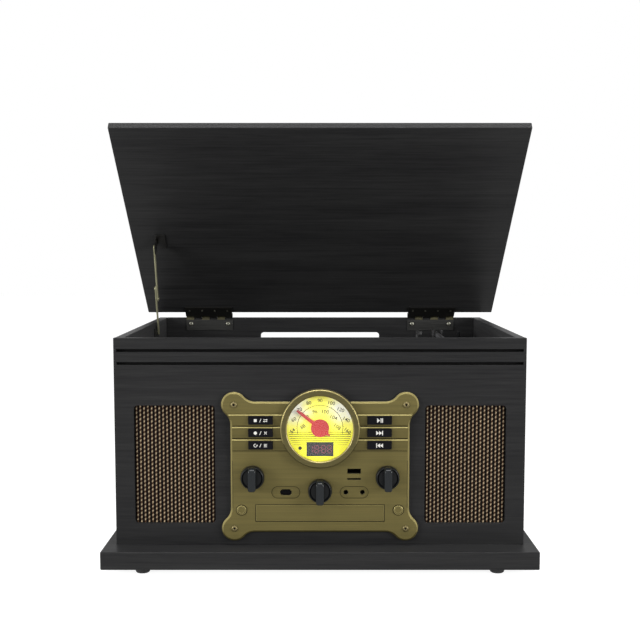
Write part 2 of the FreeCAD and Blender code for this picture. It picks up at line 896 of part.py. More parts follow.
speed_selector = fuse(
    box(
        (d.speed_knob, d.speed_knob, d.speed_height),
        (speed_x - d.speed_knob / 2, speed_y - d.speed_knob / 2, deck_z + d.fit_gap),
    ),
    box(
        (d.speed_stem, d.speed_stem, d.deck_thick + d.fit_gap),
        (speed_x - d.speed_stem / 2, speed_y - d.speed_stem / 2, deck_z - d.deck_thick),
    ),
)
node("speed_selector", speed_selector)

# Loudspeakers behind the front and the cloth in front of them
cloths = [
    panel(
        grille_width - 2 * d.cloth_gap,
        d.grille_height - 2 * d.cloth_gap,
        d.cloth_thick,
        (side * grille_x, front_y + d.pocket_depth, grille_z),
        corner=d.grille_round - d.cloth_gap,
    )
    for side in sides
]
node("grille_cloths", group(*cloths))

cone_mouth = speaker_hole - d.speaker_flange
throat = magnet_radius * 0.65
bowl_depth = d.speaker_depth * 0.6
ledge = d.speaker_flange / 2
basket_profile = [
    (speaker_hole, 0),
    (speaker_radius, 0),
    (speaker_radius, d.speaker_flange),
    (speaker_hole, d.speaker_flange),
    (throat + d.speaker_flange, bowl_depth),
    (magnet_radius, bowl_depth),
    (magnet_radius, d.speaker_depth),
    (0, d.speaker_depth),
    (0, bowl_depth),
    (throat, bowl_depth),
    (cone_mouth, d.speaker_flange),
    (cone_mouth, ledge),
    (speaker_hole, ledge),
]
cone_rim = speaker_hole - 2 * d.cone_paper
cone_neck = throat / 2
paper = d.cone_paper
cone_profile = [
    (0, bowl_depth * 0.6),
    (cone_neck, bowl_depth * 0.76),
    (cone_mouth - d.cone_surround, d.speaker_flange + paper),
    (cone_mouth - paper, ledge),
    (cone_rim, ledge),
    (cone_rim, ledge - paper),
    (cone_mouth - 2 * paper, ledge - paper),
    (cone_mouth - d.cone_surround - paper, d.speaker_flange),
    (cone_neck, bowl_depth * 0.76 - 2 * paper),
    (0, bowl_depth * 0.6 - 2 * paper),
]
for name, profile in (("speaker_baskets", basket_profile), ("speaker_cones", cone_profile)):
    pair = [turned(profile, (side * grille_x, inner_front, grille_z), "back") for side in sides]
    node(name, group(*pair))

# Control plate: four round lobes joined to straight edges by hollow blends


def plate_outline(inset=0.0):
    # One quarter is worked out at the top right; the others mirror it. An inset draws it smaller all round.
    lobe, blend = d.lobe_radius.value - inset, d.blend_radius.value + inset
    across, half = d.screw_x.value, d.plate_half_width.value - inset
    edges = []
    ends = []
    for right, screw, edge_z in ((1, d.screw_top, d.plate_top), (1, d.screw_bottom, d.plate_bottom),
                                 (-1, d.screw_bottom, d.plate_bottom), (-1, d.screw_top, d.plate_top)):
        up = 1 if screw is d.screw_top else -1
        centre = FreeCAD.Vector(right * across, screw.value, 0)
        level = up * (edge_z.value - screw.value) - inset
        side_gap = half - across
        reach_x = math.sqrt((lobe + blend) ** 2 - (level + blend) ** 2)
        reach_z = math.sqrt((lobe + blend) ** 2 - (side_gap + blend) ** 2)
        flat_blend = centre + FreeCAD.Vector(-right * reach_x, up * (level + blend), 0)
        side_blend = centre + FreeCAD.Vector(right * (side_gap + blend), -up * reach_z, 0)
        corner = []
        for hollow, edge_end in ((flat_blend, FreeCAD.Vector(flat_blend.x, edge_z.value - up * inset, 0)),
                                 (side_blend, FreeCAD.Vector(right * half, side_blend.y, 0))):
            touch = centre + (hollow - centre).normalize() * lobe
            bisector = ((touch - hollow).normalize() + (edge_end - hollow).normalize()).normalize()
            corner.append((edge_end, hollow + bisector * blend, touch))
        (flat_end, flat_mid, flat_touch), (side_end, side_mid, side_touch) = corner
        outer = centre + FreeCAD.Vector(right, up, 0).normalize() * lobe
        edges.append(Part.Arc(flat_end, flat_mid, flat_touch).toShape())
        edges.append(Part.Arc(flat_touch, outer, side_touch).toShape())
        edges.append(Part.Arc(side_touch, side_mid, side_end).toShape())
        ends.append((flat_end, side_end))
    (top_right, right_top), (low_right, right_low), (low_left, left_low), (top_left, left_top) = ends
    straights = ((right_top, right_low), (low_right, low_left), (left_low, left_top), (top_left, top_right))
    for start, end in straights:
        edges.append(Part.LineSegment(start, end).toShape())
    return Part.Wire(Part.__sortEdges__(edges))


dial_z = base_z + d.dial_rise
plate_slab = Part.Face(plate_outline()).extrude(FreeCAD.Vector(0, 0, d.plate_thick.value))
plate_rim = [edge for edge in plate_slab.Edges if edge.BoundBox.ZMin > d.plate_thick.value / 2]
plate_blank = shaped(
    plate_slab.makeChamfer(d.plate_edge.value, plate_rim),
    (0, front_y, base_z),
    FACING["front"],
)
band_profile = [
    (0, 0),
    (0, d.band_height),
    (-d.band_proud + d.band_lip, d.band_height),
    (-d.band_proud, d.band_height - 2 * d.band_lip),
    (-d.band_lip, 0),
]
band_reach = d.screw_x + d.lobe_radius
bands = []
for number in range(3):
    band_z = base_z + d.band_top - d.band_height - number * d.band_pitch
    bands.append(slab(band_profile, 2 * band_reach, (-band_reach, plate_y, band_z), "right"))
band_field = shaped(
    Part.Face(plate_outline(d.plate_edge.value)).extrude(FreeCAD.Vector(0, 0, 2 * d.plate_thick.value)),
    (0, front_y, base_z),
    FACING["front"],
)
button_z = [base_z + d.band_top - number * d.band_pitch - d.band_height / 2 for number in range(3)]
through = d.plate_thick + d.band_proud
plate_cuts = [rod(d.bezel_radius + d.cloth_gap, 2 * through, (0, front_y, dial_z), "front")]
for side in sides:
    for height in button_z:
        window = (d.button_width + 2 * d.fit_gap, 2 * through, d.button_height + 2 * d.fit_gap)
        plate_cuts.append(middle_box(window, (side * d.button_x, front_y - 2 * through, height)))
    round_at = (side * d.round_button_x, front_y, base_z + d.round_button_rise)
    plate_cuts.append(rod(d.round_button_radius + d.fit_gap, through, round_at, "front"))
    for screw_rise in (d.screw_top, d.screw_bottom):
        plate_cuts.append(rod(screw_hole, through, (side * d.screw_x, front_y, base_z + screw_rise), "front"))
    sink_at = (side * d.oval_x, plate_y + d.oval_depth, base_z + d.oval_rise)
    plate_cuts.append(oval(d.oval_width, d.oval_height, through, sink_at))
knob_places = {
    "volume_knob": (-d.knob_side_x, base_z + d.knob_side_rise),
    "function_knob": (as_size(0), base_z + d.knob_mid_rise),
    "tuning_knob": (d.knob_side_x, base_z + d.knob_side_rise),
}
for x, z in knob_places.values():
    plate_cuts.append(rod(d.shaft_radius + 2 * d.fit_gap, through, (x, front_y, z), "front"))
usb_z = base_z + d.usb_rise
card_z = base_z + d.card_rise
oval_z = base_z + d.oval_rise
for height, z in ((d.usb_height, usb_z), (d.card_height, card_z)):
    plate_cuts.append(middle_box((d.usb_width, 2 * through, height), (d.usb_x, front_y - through, z)))
plate_cuts.append(oval(d.window_width, d.window_height, through, (-d.oval_x, front_y, oval_z)))
for side in sides:
    jack_x = d.oval_x + side * d.jack_pitch / 2
    plate_cuts.append(rod(d.jack_hole, through, (jack_x, front_y, oval_z), "front"))
drawer_z = base_z + d.drawer_rise
drawer_window = (d.drawer_width + 2 * d.fit_gap, 2 * through, d.drawer_height + 2 * d.fit_gap)
plate_cuts.append(middle_box(drawer_window, (0, front_y - through, drawer_z)))
node("control_plate", cut(fuse(plate_blank, *[overlap(band, band_field) for band in bands]), *plate_cuts))

screw_profile = [
    (0, -d.plate_screw_length),
    (d.plate_screw_shank, -d.plate_screw_length),
    (d.plate_screw_shank, 0),
    (d.plate_screw_head, 0),
    (d.plate_screw_head * 0.8, d.plate_screw_dome * 0.7),
    (d.plate_screw_head * 0.4, d.plate_screw_dome),
    (0, d.plate_screw_dome),
]
plate_screws = [
    turned(screw_profile, (side * d.screw_x, plate_y, base_z + rise), "front")
    for side in sides
    for rise in (d.screw_top, d.screw_bottom)
]
node("plate_screws", group(*plate_screws))

# Dial: bezel, face, glass, display and the pointer with its cord drum
inner_bezel = d.bezel_radius - d.bezel_wall
lip_start = d.bezel_proud - d.lip_width
bezel_profile = [
    (inner_bezel, 0),
    (d.bezel_radius, 0),
    (d.bezel_radius, d.bezel_proud - d.bezel_chamfer),
    (d.bezel_radius - d.bezel_chamfer, d.bezel_proud),
    (inner_bezel - d.lip_width + d.bezel_chamfer, d.bezel_proud),
    (inner_bezel - d.lip_width, d.bezel_proud - d.bezel_chamfer),
    (inner_bezel - d.lip_width, lip_start),
    (inner_bezel, lip_start),
]
dial_at = (0, front_y, dial_z)
node("dial_bezel", turned(bezel_profile, dial_at, "front"))
glass_profile = [
    (0, lip_start - d.glass_thick),
    (inner_bezel - d.cloth_gap, lip_start - d.glass_thick),
    (inner_bezel - d.cloth_gap, lip_start),
    (0, lip_start),
]
node("dial_glass", turned(glass_profile, dial_at, "front"))
face_y = front_y - d.dial_face_seat
display_z = dial_z - d.display_drop
dial_face = cut(
    rod(inner_bezel - d.cloth_gap, d.dial_face_thick, (0, face_y, dial_z), "front"),
    rod(d.pointer_shaft + 2 * d.fit_gap, 2 * d.dial_face_thick, (0, face_y, dial_z), "front"),
    middle_box(
        (d.display_width, 2 * d.dial_face_thick, d.display_height),
        (0, face_y - 2 * d.dial_face_thick, display_z),
    ),
)
node("dial_face", dial_face)
display_at = (0, face_y - d.dial_face_thick, display_z)
node("display_module", middle_box((d.display_width, d.display_thick, d.display_height), display_at))

pointer_turn = FACING["front"] * about_z(d.pointer_angle.value)
needle_outline = [
    (0, -d.needle_root / 2),
    (d.pointer_length, -d.needle_tip / 2),
    (d.pointer_length, d.needle_tip / 2),
    (0, d.needle_root / 2),
]
tail_outline = [(0, -d.tail_root / 2), (-d.pointer_tail, 0), (0, d.tail_root / 2)]
needle = slab(needle_outline, d.pointer_thick, (0, 0, 0))
tail = slab(tail_outline, d.pointer_thick, (0, 0, 0))
hub = rod(d.pointer_hub, d.pointer_thick, (0, 0, 0))
needle_seat = d.dial_face_seat + d.dial_face_thick + 1
drum_start = needle_seat + d.wall + d.drum_width - d.drum_back
stem_reach = board_y + d.board_thick - front_y + needle_seat
pointer_stem = rod(d.pointer_shaft, stem_reach, (0, 0, -stem_reach))
pointer_drum = rod(d.drum_radius, d.drum_width, (0, 0, -drum_start))
pointer = fuse(needle, tail, hub, pointer_stem, pointer_drum)
node("dial_pointer", place(pointer, (0, front_y - needle_seat, dial_z), pointer_turn))

drum_y = front_y - needle_seat + drum_start
cord_far = (d.knob_side_x.value, (base_z + d.knob_side_rise - dial_z).value)
cord = loop_band(
    cord_far,
    (d.drum_radius + d.belt_gap, d.tuning_pulley + d.belt_gap),
    d.cord_radial,
    d.drum_width / 2,
    (0, drum_y - d.drum_width / 4, dial_z),
    "front",
)
node("dial_cord", cord)

# Circuit boards, with the push switches on the control board
board_outline = [
    (-d.board_half_width, d.board_bottom),
    (-d.board_notch, d.board_bottom),
    (-d.board_notch, d.board_notch_top),
    (d.board_notch, d.board_notch_top),
    (d.board_notch, d.board_bottom),
    (d.board_half_width, d.board_bottom),
    (d.board_half_width, d.board_top),
    (-d.board_half_width, d.board_top),
]
board_parts = [slab(board_outline, d.board_thick, (0, board_y + d.board_thick, base_z), "front")]
switch = (d.switch_width, d.switch_depth, d.switch_width)
switch_places = [(side * d.button_x, height) for side in sides for height in button_z]
switch_places += [(side * d.round_button_x, base_z + d.round_button_rise) for side in sides]
for x, z in switch_places:
    board_parts.append(middle_box(switch, (x, board_y - d.switch_depth, z)))
bush_hole = d.bush_radius + d.running_gap
board_holes = [rod(bush_hole, d.board_thick, (x, board_y, z), "back") for x, z in knob_places.values()]
board_holes.append(rod(d.pointer_shaft + d.running_gap, d.board_thick, (0, board_y, dial_z), "back"))
for height, z in ((d.usb_height, usb_z), (d.card_height, card_z)):
    shell_hole = 2 * (d.socket_wall + d.fit_gap)
    hole_size = (d.usb_width + shell_hole, d.board_thick, height + shell_hole)
    board_holes.append(middle_box(hole_size, (d.usb_x, board_y, z)))
for side in sides:
    barrel_at = (d.oval_x + side * d.jack_pitch / 2, board_y, oval_z)
    board_holes.append(rod(d.jack_body + d.fit_gap, d.board_thick, barrel_at, "back"))
control_board = cut(fuse(*board_parts), *board_holes)

# Posts tie the control board to the front
post_x = d.control_opening + d.standoff_radius
ear_height = 2 * d.standoff_radius
board_posts = []
for side in sides:
    ear_start = d.board_half_width if side > 0 else -post_x - d.standoff_radius
    ear_width = post_x + d.standoff_radius - d.board_half_width
    ear_z = base_z + d.opening_top - 3 * ear_height
    board_posts.append(box((ear_width, d.board_thick, ear_height), (ear_start, board_y, ear_z)))
    post_at = (side * post_x, inner_front, ear_z + d.standoff_radius)
    board_posts.append(rod(d.standoff_radius, d.board_back, post_at, "back"))
main_board_at = (main_board_x, main_board_y, base_z + d.standoff_height)
main_parts = [box((d.main_board_width, d.main_board_depth, d.board_thick), main_board_at)]
for along in (d.standoff_radius, d.main_board_width - d.standoff_radius):
    for back in (d.standoff_radius, d.main_board_depth - d.standoff_radius):
        post_at = (main_board_x + along, main_board_y + back, base_z)
        main_parts.append(rod(d.standoff_radius, d.standoff_height, post_at))
heat_sink = (d.main_board_width / 2, d.standoff_height, 4 * d.standoff_height)
heat_sink_x = main_board_x + d.main_board_width / 4
main_parts.append(box(heat_sink, (heat_sink_x, main_board_y, base_z + d.standoff_height)))
node("circuit_boards", group(fuse(control_board, *board_posts), fuse(*main_parts)))

# Push buttons: a cap through the plate, a retaining flange behind it and a stem towards its switch
flange_y = front_y + d.fit_gap
stem_length = board_y - d.switch_depth - d.switch_gap - flange_y
button_names = {
    -1: ("stop_button", "record_button", "program_button"),
    1: ("play_button", "next_button", "previous_button"),
}
for side in sides:
    for name, height in zip(button_names[side], button_z):
        x = side * d.button_x
        cap = middle_box(
            (d.button_width, d.button_proud + d.fit_gap, d.button_height),
            (x, front_y - d.button_proud, height),
        )
        flange = middle_box(
            (d.button_width + 2 * d.flange_rim, d.button_flange, d.button_height + 2 * d.flange_rim),
            (x, flange_y, height),
        )
        node(name, fuse(cap, flange, rod(d.button_stem, stem_length, (x, flange_y, height), "back")))
for name, side in (("standby_button", -1), ("eject_button", 1)):
    profile = [
        (0, -stem_length),
        (d.button_stem, -stem_length),
        (d.button_stem, -d.button_flange),
        (d.round_button_radius + d.flange_rim, -d.button_flange),
        (d.round_button_radius + d.flange_rim, 0),
        (d.round_button_radius, 0),
        (d.round_button_radius, d.round_button_proud + d.fit_gap),
        (0, d.round_button_proud + d.fit_gap),
    ]
    node(name, turned(profile, (side * d.round_button_x, flange_y, base_z + d.round_button_rise), "front"))

# Knobs with their shafts, and the controls that they turn in
pots = []
knob_y = plate_y - d.fit_gap
shaft_end = board_y + d.board_thick + d.pot_depth / 2
for name, (x, z) in knob_places.items():
    skirt = rod(d.knob_radius, d.knob_skirt, (x, knob_y, z), "front")
    bar_reach = d.knob_radius - d.knob_bar_inset - d.knob_bar_width / 2
    bar_depth = d.knob_skirt + d.knob_bar_proud
    bar = middle_box((d.knob_bar_width, bar_depth, 2 * bar_reach), (x, knob_y - bar_depth, z))
    bar_ends = [
        rod(d.knob_bar_width / 2, bar_depth, (x, knob_y, z + side * bar_reach), "front") for side in sides
    ]
    shaft = rod(d.shaft_radius, shaft_end - knob_y, (x, knob_y, z), "back")
    knob_parts = [skirt, bar, *bar_ends, shaft]
    if name == "tuning_knob":
        knob_parts.append(rod(d.tuning_pulley, d.drum_width, (x, drum_y - d.drum_width, z), "back"))
    node(name, fuse(*knob_parts))
    pot = fuse(
        rod(d.bush_radius, d.bush_length + d.board_thick, (x, board_y - d.bush_length, z), "back"),
        rod(d.pot_radius, d.pot_depth, (x, board_y + d.board_thick, z), "back"),
    )
    pot_bore = d.bush_length + d.board_thick + d.pot_depth * 0.6
    shaft_hole = rod(d.shaft_radius + d.running_gap, pot_bore, (x, board_y - d.bush_length, z), "back")
    pots.append(cut(pot, shaft_hole))
node("potentiometers", group(*pots))

# Receiver window, memory sockets and audio jacks behind the plate
window = oval(
    d.window_width - 2 * d.cloth_gap,
    d.window_height - 2 * d.cloth_gap,
    d.window_thick,
    (-d.oval_x, front_y, oval_z),
)
node("receiver_window", window)
sockets = []
for height, z in ((d.usb_height, usb_z), (d.card_height, card_z)):
    outer = (d.usb_width + 2 * d.socket_wall, d.socket_depth, height + 2 * d.socket_wall)
    hollow = (d.usb_width, d.socket_depth, height)
    shell = middle_box(outer, (d.usb_x, front_y, z))
    sockets.append(cut(shell, middle_box(hollow, (d.usb_x, front_y - d.socket_wall, z))))
for side in sides:
    jack_x = d.oval_x + side * d.jack_pitch / 2
    barrel = rod(d.jack_body, d.socket_depth, (jack_x, front_y, oval_z), "back")
    jack_depth = d.socket_depth - d.socket_wall
    sockets.append(cut(barrel, rod(d.jack_bore, jack_depth, (jack_x, front_y, oval_z), "back")))
node("front_sockets", group(*sockets))

# Disc drawer in its housing
tray_width = d.drawer_width - 2 * d.tray_side
tray_z = drawer_z - d.drawer_height / 2
disc_y = plate_y + d.disc_from_face
face = middle_box((d.drawer_width, d.drawer_face, d.drawer_height), (0, plate_y, drawer_z))
tray_blank = box(
    (tray_width, d.tray_depth, d.tray_height),
    (-tray_width / 2, plate_y + d.drawer_face, tray_z + d.tray_side),
)
tray_top = tray_z + d.tray_side + d.tray_height
tray = cut(fuse(face, tray_blank), rod(d.disc_recess, d.disc_sink, (0, disc_y, tray_top - d.disc_sink)))
node("disc_drawer", tray)

cavity_width = tray_width + 2 * d.housing_gap
cavity_z = tray_z + d.tray_side - d.housing_gap
cavity_height = d.tray_height + d.housing_gap + d.housing_head
housing_width = cavity_width + 2 * d.housing_wall
housing_y = inner_front + d.housing_back
housing_bottom = cavity_z - d.housing_wall
housing_top = cavity_z + cavity_height + d.housing_wall
housing = fuse(
    box(
        (housing_width, d.housing_depth, housing_top - housing_bottom),
        (-housing_width / 2, housing_y, housing_bottom),
    ),
    *[
        box(
            (d.rail_width, d.housing_depth, housing_bottom - base_z),
            (side * (housing_width - d.rail_width) / 2 - d.rail_width / 2, housing_y, base_z),
        )
        for side in sides
    ],
)
cavity_at = (-cavity_width / 2, housing_y - d.housing_wall, cavity_z)
cavity = box((cavity_width, d.housing_depth, cavity_height), cavity_at)
node("disc_housing", cut(housing, cavity))

# Hinges: three knuckles on the back wall, three on the lid, on one pin each side
hinge_y = inner_back
hinge_z = rim_z + d.hinge_lift
knuckle_length = d.hinge_width / d.knuckle_count
lid_turn = FreeCAD.Rotation(FreeCAD.Vector(1, 0, 0), -d.lid_open.value)


def knuckles(first, centre_y, centre_z, centre_x, tongue_at, tongue_size):
    # Every other knuckle of a hinge, each with the tongue that joins it to its leaf
    parts = []
    for number in range(first, SIZES["knuckle_count"], 2):
        start = centre_x - d.hinge_width / 2 + number * knuckle_length + d.knuckle_gap / 2
        length = knuckle_length - d.knuckle_gap
        parts.append(rod(d.knuckle_radius, length, (start, centre_y, centre_z), "right"))
        parts.append(box((length, *tongue_size), (start, *tongue_at)))
    return parts


pin_bore_radius = d.pin_radius + d.running_gap
leaf_top = rim_z - d.body_leaf_drop
body_leaves = []
hinge_pins = []
hinge_screws = []
lid_leaves = []
lid_screws = []
lid_under = -d.hinge_lift
leaf_front = -d.lid_rear_gap - d.lid_leaf_depth
leaf_depth = d.lid_leaf_depth + d.lid_rear_gap - d.knuckle_radius - 2 * d.fit_gap
for side in sides:
    x = side * hinge_x
    left = x - d.hinge_width / 2
    body_first = 1 if side > 0 else 0
    body_leaf = fuse(
        box(
            (d.hinge_width, d.leaf_thick, d.body_leaf_height),
            (left, hinge_y - d.leaf_thick, leaf_top - d.body_leaf_height),
        ),
        *knuckles(
            body_first, hinge_y, hinge_z, x,
            (hinge_y - d.leaf_thick, leaf_top - d.leaf_thick),
            (d.leaf_thick, hinge_z - leaf_top + d.leaf_thick),
        ),
    )
    bore = rod(pin_bore_radius, d.hinge_width, (left, hinge_y, hinge_z), "right")
    body_leaves.append(cut(body_leaf, bore))
    hinge_pins.append(rod(d.pin_radius, d.hinge_width, (left, hinge_y, hinge_z), "right"))
    dome = [
        (0, 0),
        (d.hinge_screw_radius, 0),
        (d.hinge_screw_radius * 0.8, d.hinge_screw_dome * 0.7),
        (d.hinge_screw_radius * 0.4, d.hinge_screw_dome),
        (0, d.hinge_screw_dome),
    ]
    lid_dome = [
        (0, 0),
        (d.lid_screw_radius, 0),
        (d.lid_screw_radius * 0.5, d.lid_screw_dome),
        (0, d.lid_screw_dome),
    ]
    for end in sides:
        screw_at = (x + end * d.hinge_screw_spread, hinge_y - d.leaf_thick, rim_z - d.hinge_screw_drop)
        hinge_screws.append(turned(dome, screw_at, "front"))
    leaf_level = lid_under - d.leaf_thick
    lid_leaf = fuse(
        box((d.hinge_width, leaf_depth, d.leaf_thick), (left, leaf_front, leaf_level)),
        *knuckles(
            1 - body_first, as_size(0), as_size(0), x,
            (leaf_front + leaf_depth - d.leaf_thick, leaf_level),
            (-leaf_front - leaf_depth + d.leaf_thick - d.fit_gap, 2 * d.leaf_thick),
        ),
    )
    lid_bore = rod(pin_bore_radius, d.hinge_width, (left, as_size(0), as_size(0)), "right")
    lid_leaves.append(cut(lid_leaf, lid_bore))
    for number in range(4):
        screw_x = x + (number - 1.5) * d.lid_screw_spread
        under = turned(lid_dome, (screw_x, leaf_front + d.lid_leaf_depth / 2, leaf_level - d.lid_screw_dome))
        lid_screws.append(under)
hinge_at = (0, hinge_y, hinge_z)
node("hinge_body_leaves", group(*body_leaves))
node("hinge_pins", group(*hinge_pins))
node("hinge_body_screws", group(*hinge_screws))
node("hinge_lid_leaves", place(group(*lid_leaves), hinge_at, lid_turn))
node("hinge_lid_screws", place(group(*lid_screws), hinge_at, lid_turn))
lid_width = d.cabinet_width + 2 * d.lid_side
lid_board = box(
    (lid_width, lid_depth, d.lid_thick),
    (-lid_width / 2, -d.lid_rear_gap - lid_depth, lid_under),
)
node("lid_panel", place(group(lid_board), hinge_at, lid_turn))

# Lid stay: two flat bars side by side, one pivoted on the left wall and one on the lid
wall_x = -inner_half
bracket_right = wall_x + d.stay_bracket_thick
lower_x = bracket_right + d.bar_stand_off
upper_x = lower_x + d.bar_thick + d.bar_gap
lug_x = upper_x + d.bar_thick + d.bar_gap
stay_z = rim_z - d.stay_drop
bracket_at = (wall_x, stay_y - d.stay_bracket_length / 2, stay_z - d.stay_bracket_height / 2)
wall_bracket = fuse(
    box((d.stay_bracket_thick, d.stay_bracket_length, d.stay_bracket_height), bracket_at),
    rod(
        2 * d.stay_pin,
        d.stay_bracket_thick + d.bar_stand_off - d.fit_gap,
        (wall_x, stay_y, stay_z),
        "right",
    ),
    rod(d.stay_pin, lower_x + d.bar_thick - wall_x, (wall_x, stay_y, stay_z), "right"),
)
node("stay_wall_bracket", wall_bracket)

pivot_down = lid_under - d.stay_below_lid
lug = fuse(
    box(
        (d.stay_lug_width, 2 * d.stay_lug_width, d.stay_bracket_thick),
        (lug_x, -d.stay_reach - d.stay_lug_width, lid_under - d.stay_bracket_thick),
    ),
    box(
        (d.stay_bracket_thick, d.stay_lug_width, d.stay_below_lid + d.stay_lug_width / 2),
        (lug_x, -d.stay_reach - d.stay_lug_width / 2, pivot_down - d.stay_lug_width / 2),
    ),
    rod(d.stay_pin, lug_x - upper_x + d.stay_bracket_thick, (upper_x, -d.stay_reach, pivot_down), "right"),
)
node("stay_lid_bracket", place(lug, hinge_at, lid_turn))

opened = math.radians(d.lid_open.value)
lid_pivot_y = hinge_y.value - d.stay_reach.value * math.cos(opened) + pivot_down.value * math.sin(opened)
lid_pivot_z = hinge_z.value + d.stay_reach.value * math.sin(opened) + pivot_down.value * math.cos(opened)
rise = lid_pivot_z - stay_z.value
run = stay_y.value - lid_pivot_y
bar_slope = math.degrees(math.atan2(rise, run))


def stay_bar(length, direction, rivet_start):
    # A flat bar from its pivot at the origin, with a guide rivet near its free end
    far = direction * (length - d.bar_width / 2)
    low = far if direction < 0 else as_size(0)
    bar = fuse(
        box((d.bar_thick, length - d.bar_width / 2, d.bar_width), (0, low, -d.bar_width / 2)),
        rod(d.bar_width / 2, d.bar_thick, (0, 0, 0), "right"),
        rod(d.bar_width / 2, d.bar_thick, (0, far, 0), "right"),
        rod(d.stay_pin, d.bar_stand_off - d.fit_gap, (rivet_start, far, 0), "right"),
    )
    return cut(bar, rod(d.stay_pin + d.bar_hole_gap, 3 * d.bar_thick, (-d.bar_thick, 0, 0), "right"))


bar_turn = FreeCAD.Rotation(FreeCAD.Vector(1, 0, 0), -bar_slope)
lower_bar = stay_bar(d.lower_bar_length, -1, d.fit_gap - d.bar_stand_off)
node("stay_lower_bar", place(lower_bar, (lower_x, stay_y, stay_z), bar_turn))
upper_bar = stay_bar(d.upper_bar_length, 1, d.bar_thick)
node("stay_upper_bar", place(upper_bar, (upper_x, lid_pivot_y, lid_pivot_z), bar_turn))

doc.recompute()
for item in doc.Objects:
    if "Invalid" in item.State or "Error" in item.State:
        raise RuntimeError(f"{item.Label} did not rebuild: {item.State}")
for piece in nodes:
    if piece.Shape.isNull() or not piece.Shape.isValid():
        raise RuntimeError(f"{piece.Label} has no sound shape")

os.makedirs("parts", exist_ok=True)
for piece in nodes:
    piece.Shape.exportStep(f"parts/{piece.Label}.step")
print(f"{len(nodes)} nodes written, stay bars at {bar_slope:.2f} degrees")
print(f"lid pivot of the stay at Y {lid_pivot_y:.2f}, Z {lid_pivot_z:.2f}")
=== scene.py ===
import math

import bmesh
import bpy
from mathutils import Matrix, Vector


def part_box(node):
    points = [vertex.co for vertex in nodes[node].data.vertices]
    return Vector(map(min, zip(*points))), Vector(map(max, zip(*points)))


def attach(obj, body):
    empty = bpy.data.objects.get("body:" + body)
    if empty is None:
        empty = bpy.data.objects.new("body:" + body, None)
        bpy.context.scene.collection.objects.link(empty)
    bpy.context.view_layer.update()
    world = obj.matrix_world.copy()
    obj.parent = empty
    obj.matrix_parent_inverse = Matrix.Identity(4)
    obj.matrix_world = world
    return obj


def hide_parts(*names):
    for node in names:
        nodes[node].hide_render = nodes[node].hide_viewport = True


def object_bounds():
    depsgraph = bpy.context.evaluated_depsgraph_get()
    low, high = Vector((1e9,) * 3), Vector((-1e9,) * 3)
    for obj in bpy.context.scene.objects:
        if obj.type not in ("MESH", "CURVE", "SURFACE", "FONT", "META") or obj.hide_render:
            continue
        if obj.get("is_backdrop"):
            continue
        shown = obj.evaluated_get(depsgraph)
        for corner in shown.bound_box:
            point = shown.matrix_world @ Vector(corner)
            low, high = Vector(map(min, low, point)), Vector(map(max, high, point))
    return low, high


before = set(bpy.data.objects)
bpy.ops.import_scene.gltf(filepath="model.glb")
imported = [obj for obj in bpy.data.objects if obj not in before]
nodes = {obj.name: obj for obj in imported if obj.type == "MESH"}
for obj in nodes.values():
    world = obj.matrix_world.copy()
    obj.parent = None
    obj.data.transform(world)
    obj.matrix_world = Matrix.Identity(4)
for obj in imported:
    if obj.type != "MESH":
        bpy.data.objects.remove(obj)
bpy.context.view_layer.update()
mm = 0.001
print("frame loaded:", len(nodes), "nodes")


def toLinear(hexColour):
    # sRGB hex to the linear colour that shaders take
    parts = [int(hexColour[i:i + 2], 16) / 255 for i in (1, 3, 5)]
    return (*[c / 12.92 if c <= 0.04045 else ((c + 0.055) / 1.055) ** 2.4 for c in parts], 1.0)


def addNode(tree, kind, settings=None, inputs=None):
    # Inputs are plain values or sockets of other nodes
    node = tree.nodes.new(kind)
    for key, value in (settings or {}).items():
        setattr(node, key, value)
    for key, value in (inputs or {}).items():
        if isinstance(value, bpy.types.NodeSocket):
            tree.links.new(value, node.inputs[key])
        else:
            node.inputs[key].default_value = value
    return node


def newMaterial(name):
    material = bpy.data.materials.new(name)
    material.use_nodes = True
    tree = material.node_tree
    shader = tree.nodes["Principled BSDF"]
    coords = addNode(tree, "ShaderNodeTexCoord").outputs["Object"]
    return material, tree, shader, coords


def streaks(tree, coords, scale, detail=3.0):
    # Noise with a scale of its own along each axis, in features per metre
    mapped = addNode(tree, "ShaderNodeMapping", inputs={"Vector": coords, "Scale": scale})
    noise = addNode(
        tree, "ShaderNodeTexNoise",
        inputs={"Vector": mapped.outputs["Vector"], "Scale": 1.0, "Detail": detail},
    )
    return noise.outputs["Fac"]


def maths(tree, operation, first, second=0.0, third=0.0):
    node = addNode(tree, "ShaderNodeMath", {"operation": operation}, {0: first, 1: second, 2: third})
    return node.outputs[0]


def ramp(tree, value, stops):
    node = addNode(tree, "ShaderNodeValToRGB", inputs={"Fac": value})
    elements = node.color_ramp.elements
    while len(elements) < len(stops):
        elements.new(0.5)
    for element, (place, colour) in zip(elements, stops):
        element.position = place
        element.color = toLinear(colour)
    return node.outputs["Color"]


def setShader(tree, shader, **inputs):
    for key, value in inputs.items():
        socket = shader.inputs[key.replace("_", " ")]
        if isinstance(value, bpy.types.NodeSocket):
            tree.links.new(value, socket)
        else:
            socket.default_value = value


def addBump(tree, shader, height, distance, strength=1.0):
    bump = addNode(
        tree, "ShaderNodeBump", inputs={"Height": height, "Distance": distance, "Strength": strength},
    )
    tree.links.new(bump.outputs["Normal"], shader.inputs["Normal"])


def spread(tree, value, low, high):
    return maths(tree, "MULTIPLY_ADD", value, high - low, low)


def between(tree, value, low, high):
    # 1 where the value lies between two limits, 0 elsewhere
    above = maths(tree, "GREATER_THAN", value, low)
    return maths(tree, "MULTIPLY", above, maths(tree, "LESS_THAN", value, high))


def blend(tree, share, first, second):
    # Mixes two colours, given as sockets or as linear colours
    mix = addNode(tree, "ShaderNodeMix", {"data_type": "RGBA"}, {0: share, 6: first, 7: second})
    return mix.outputs[2]


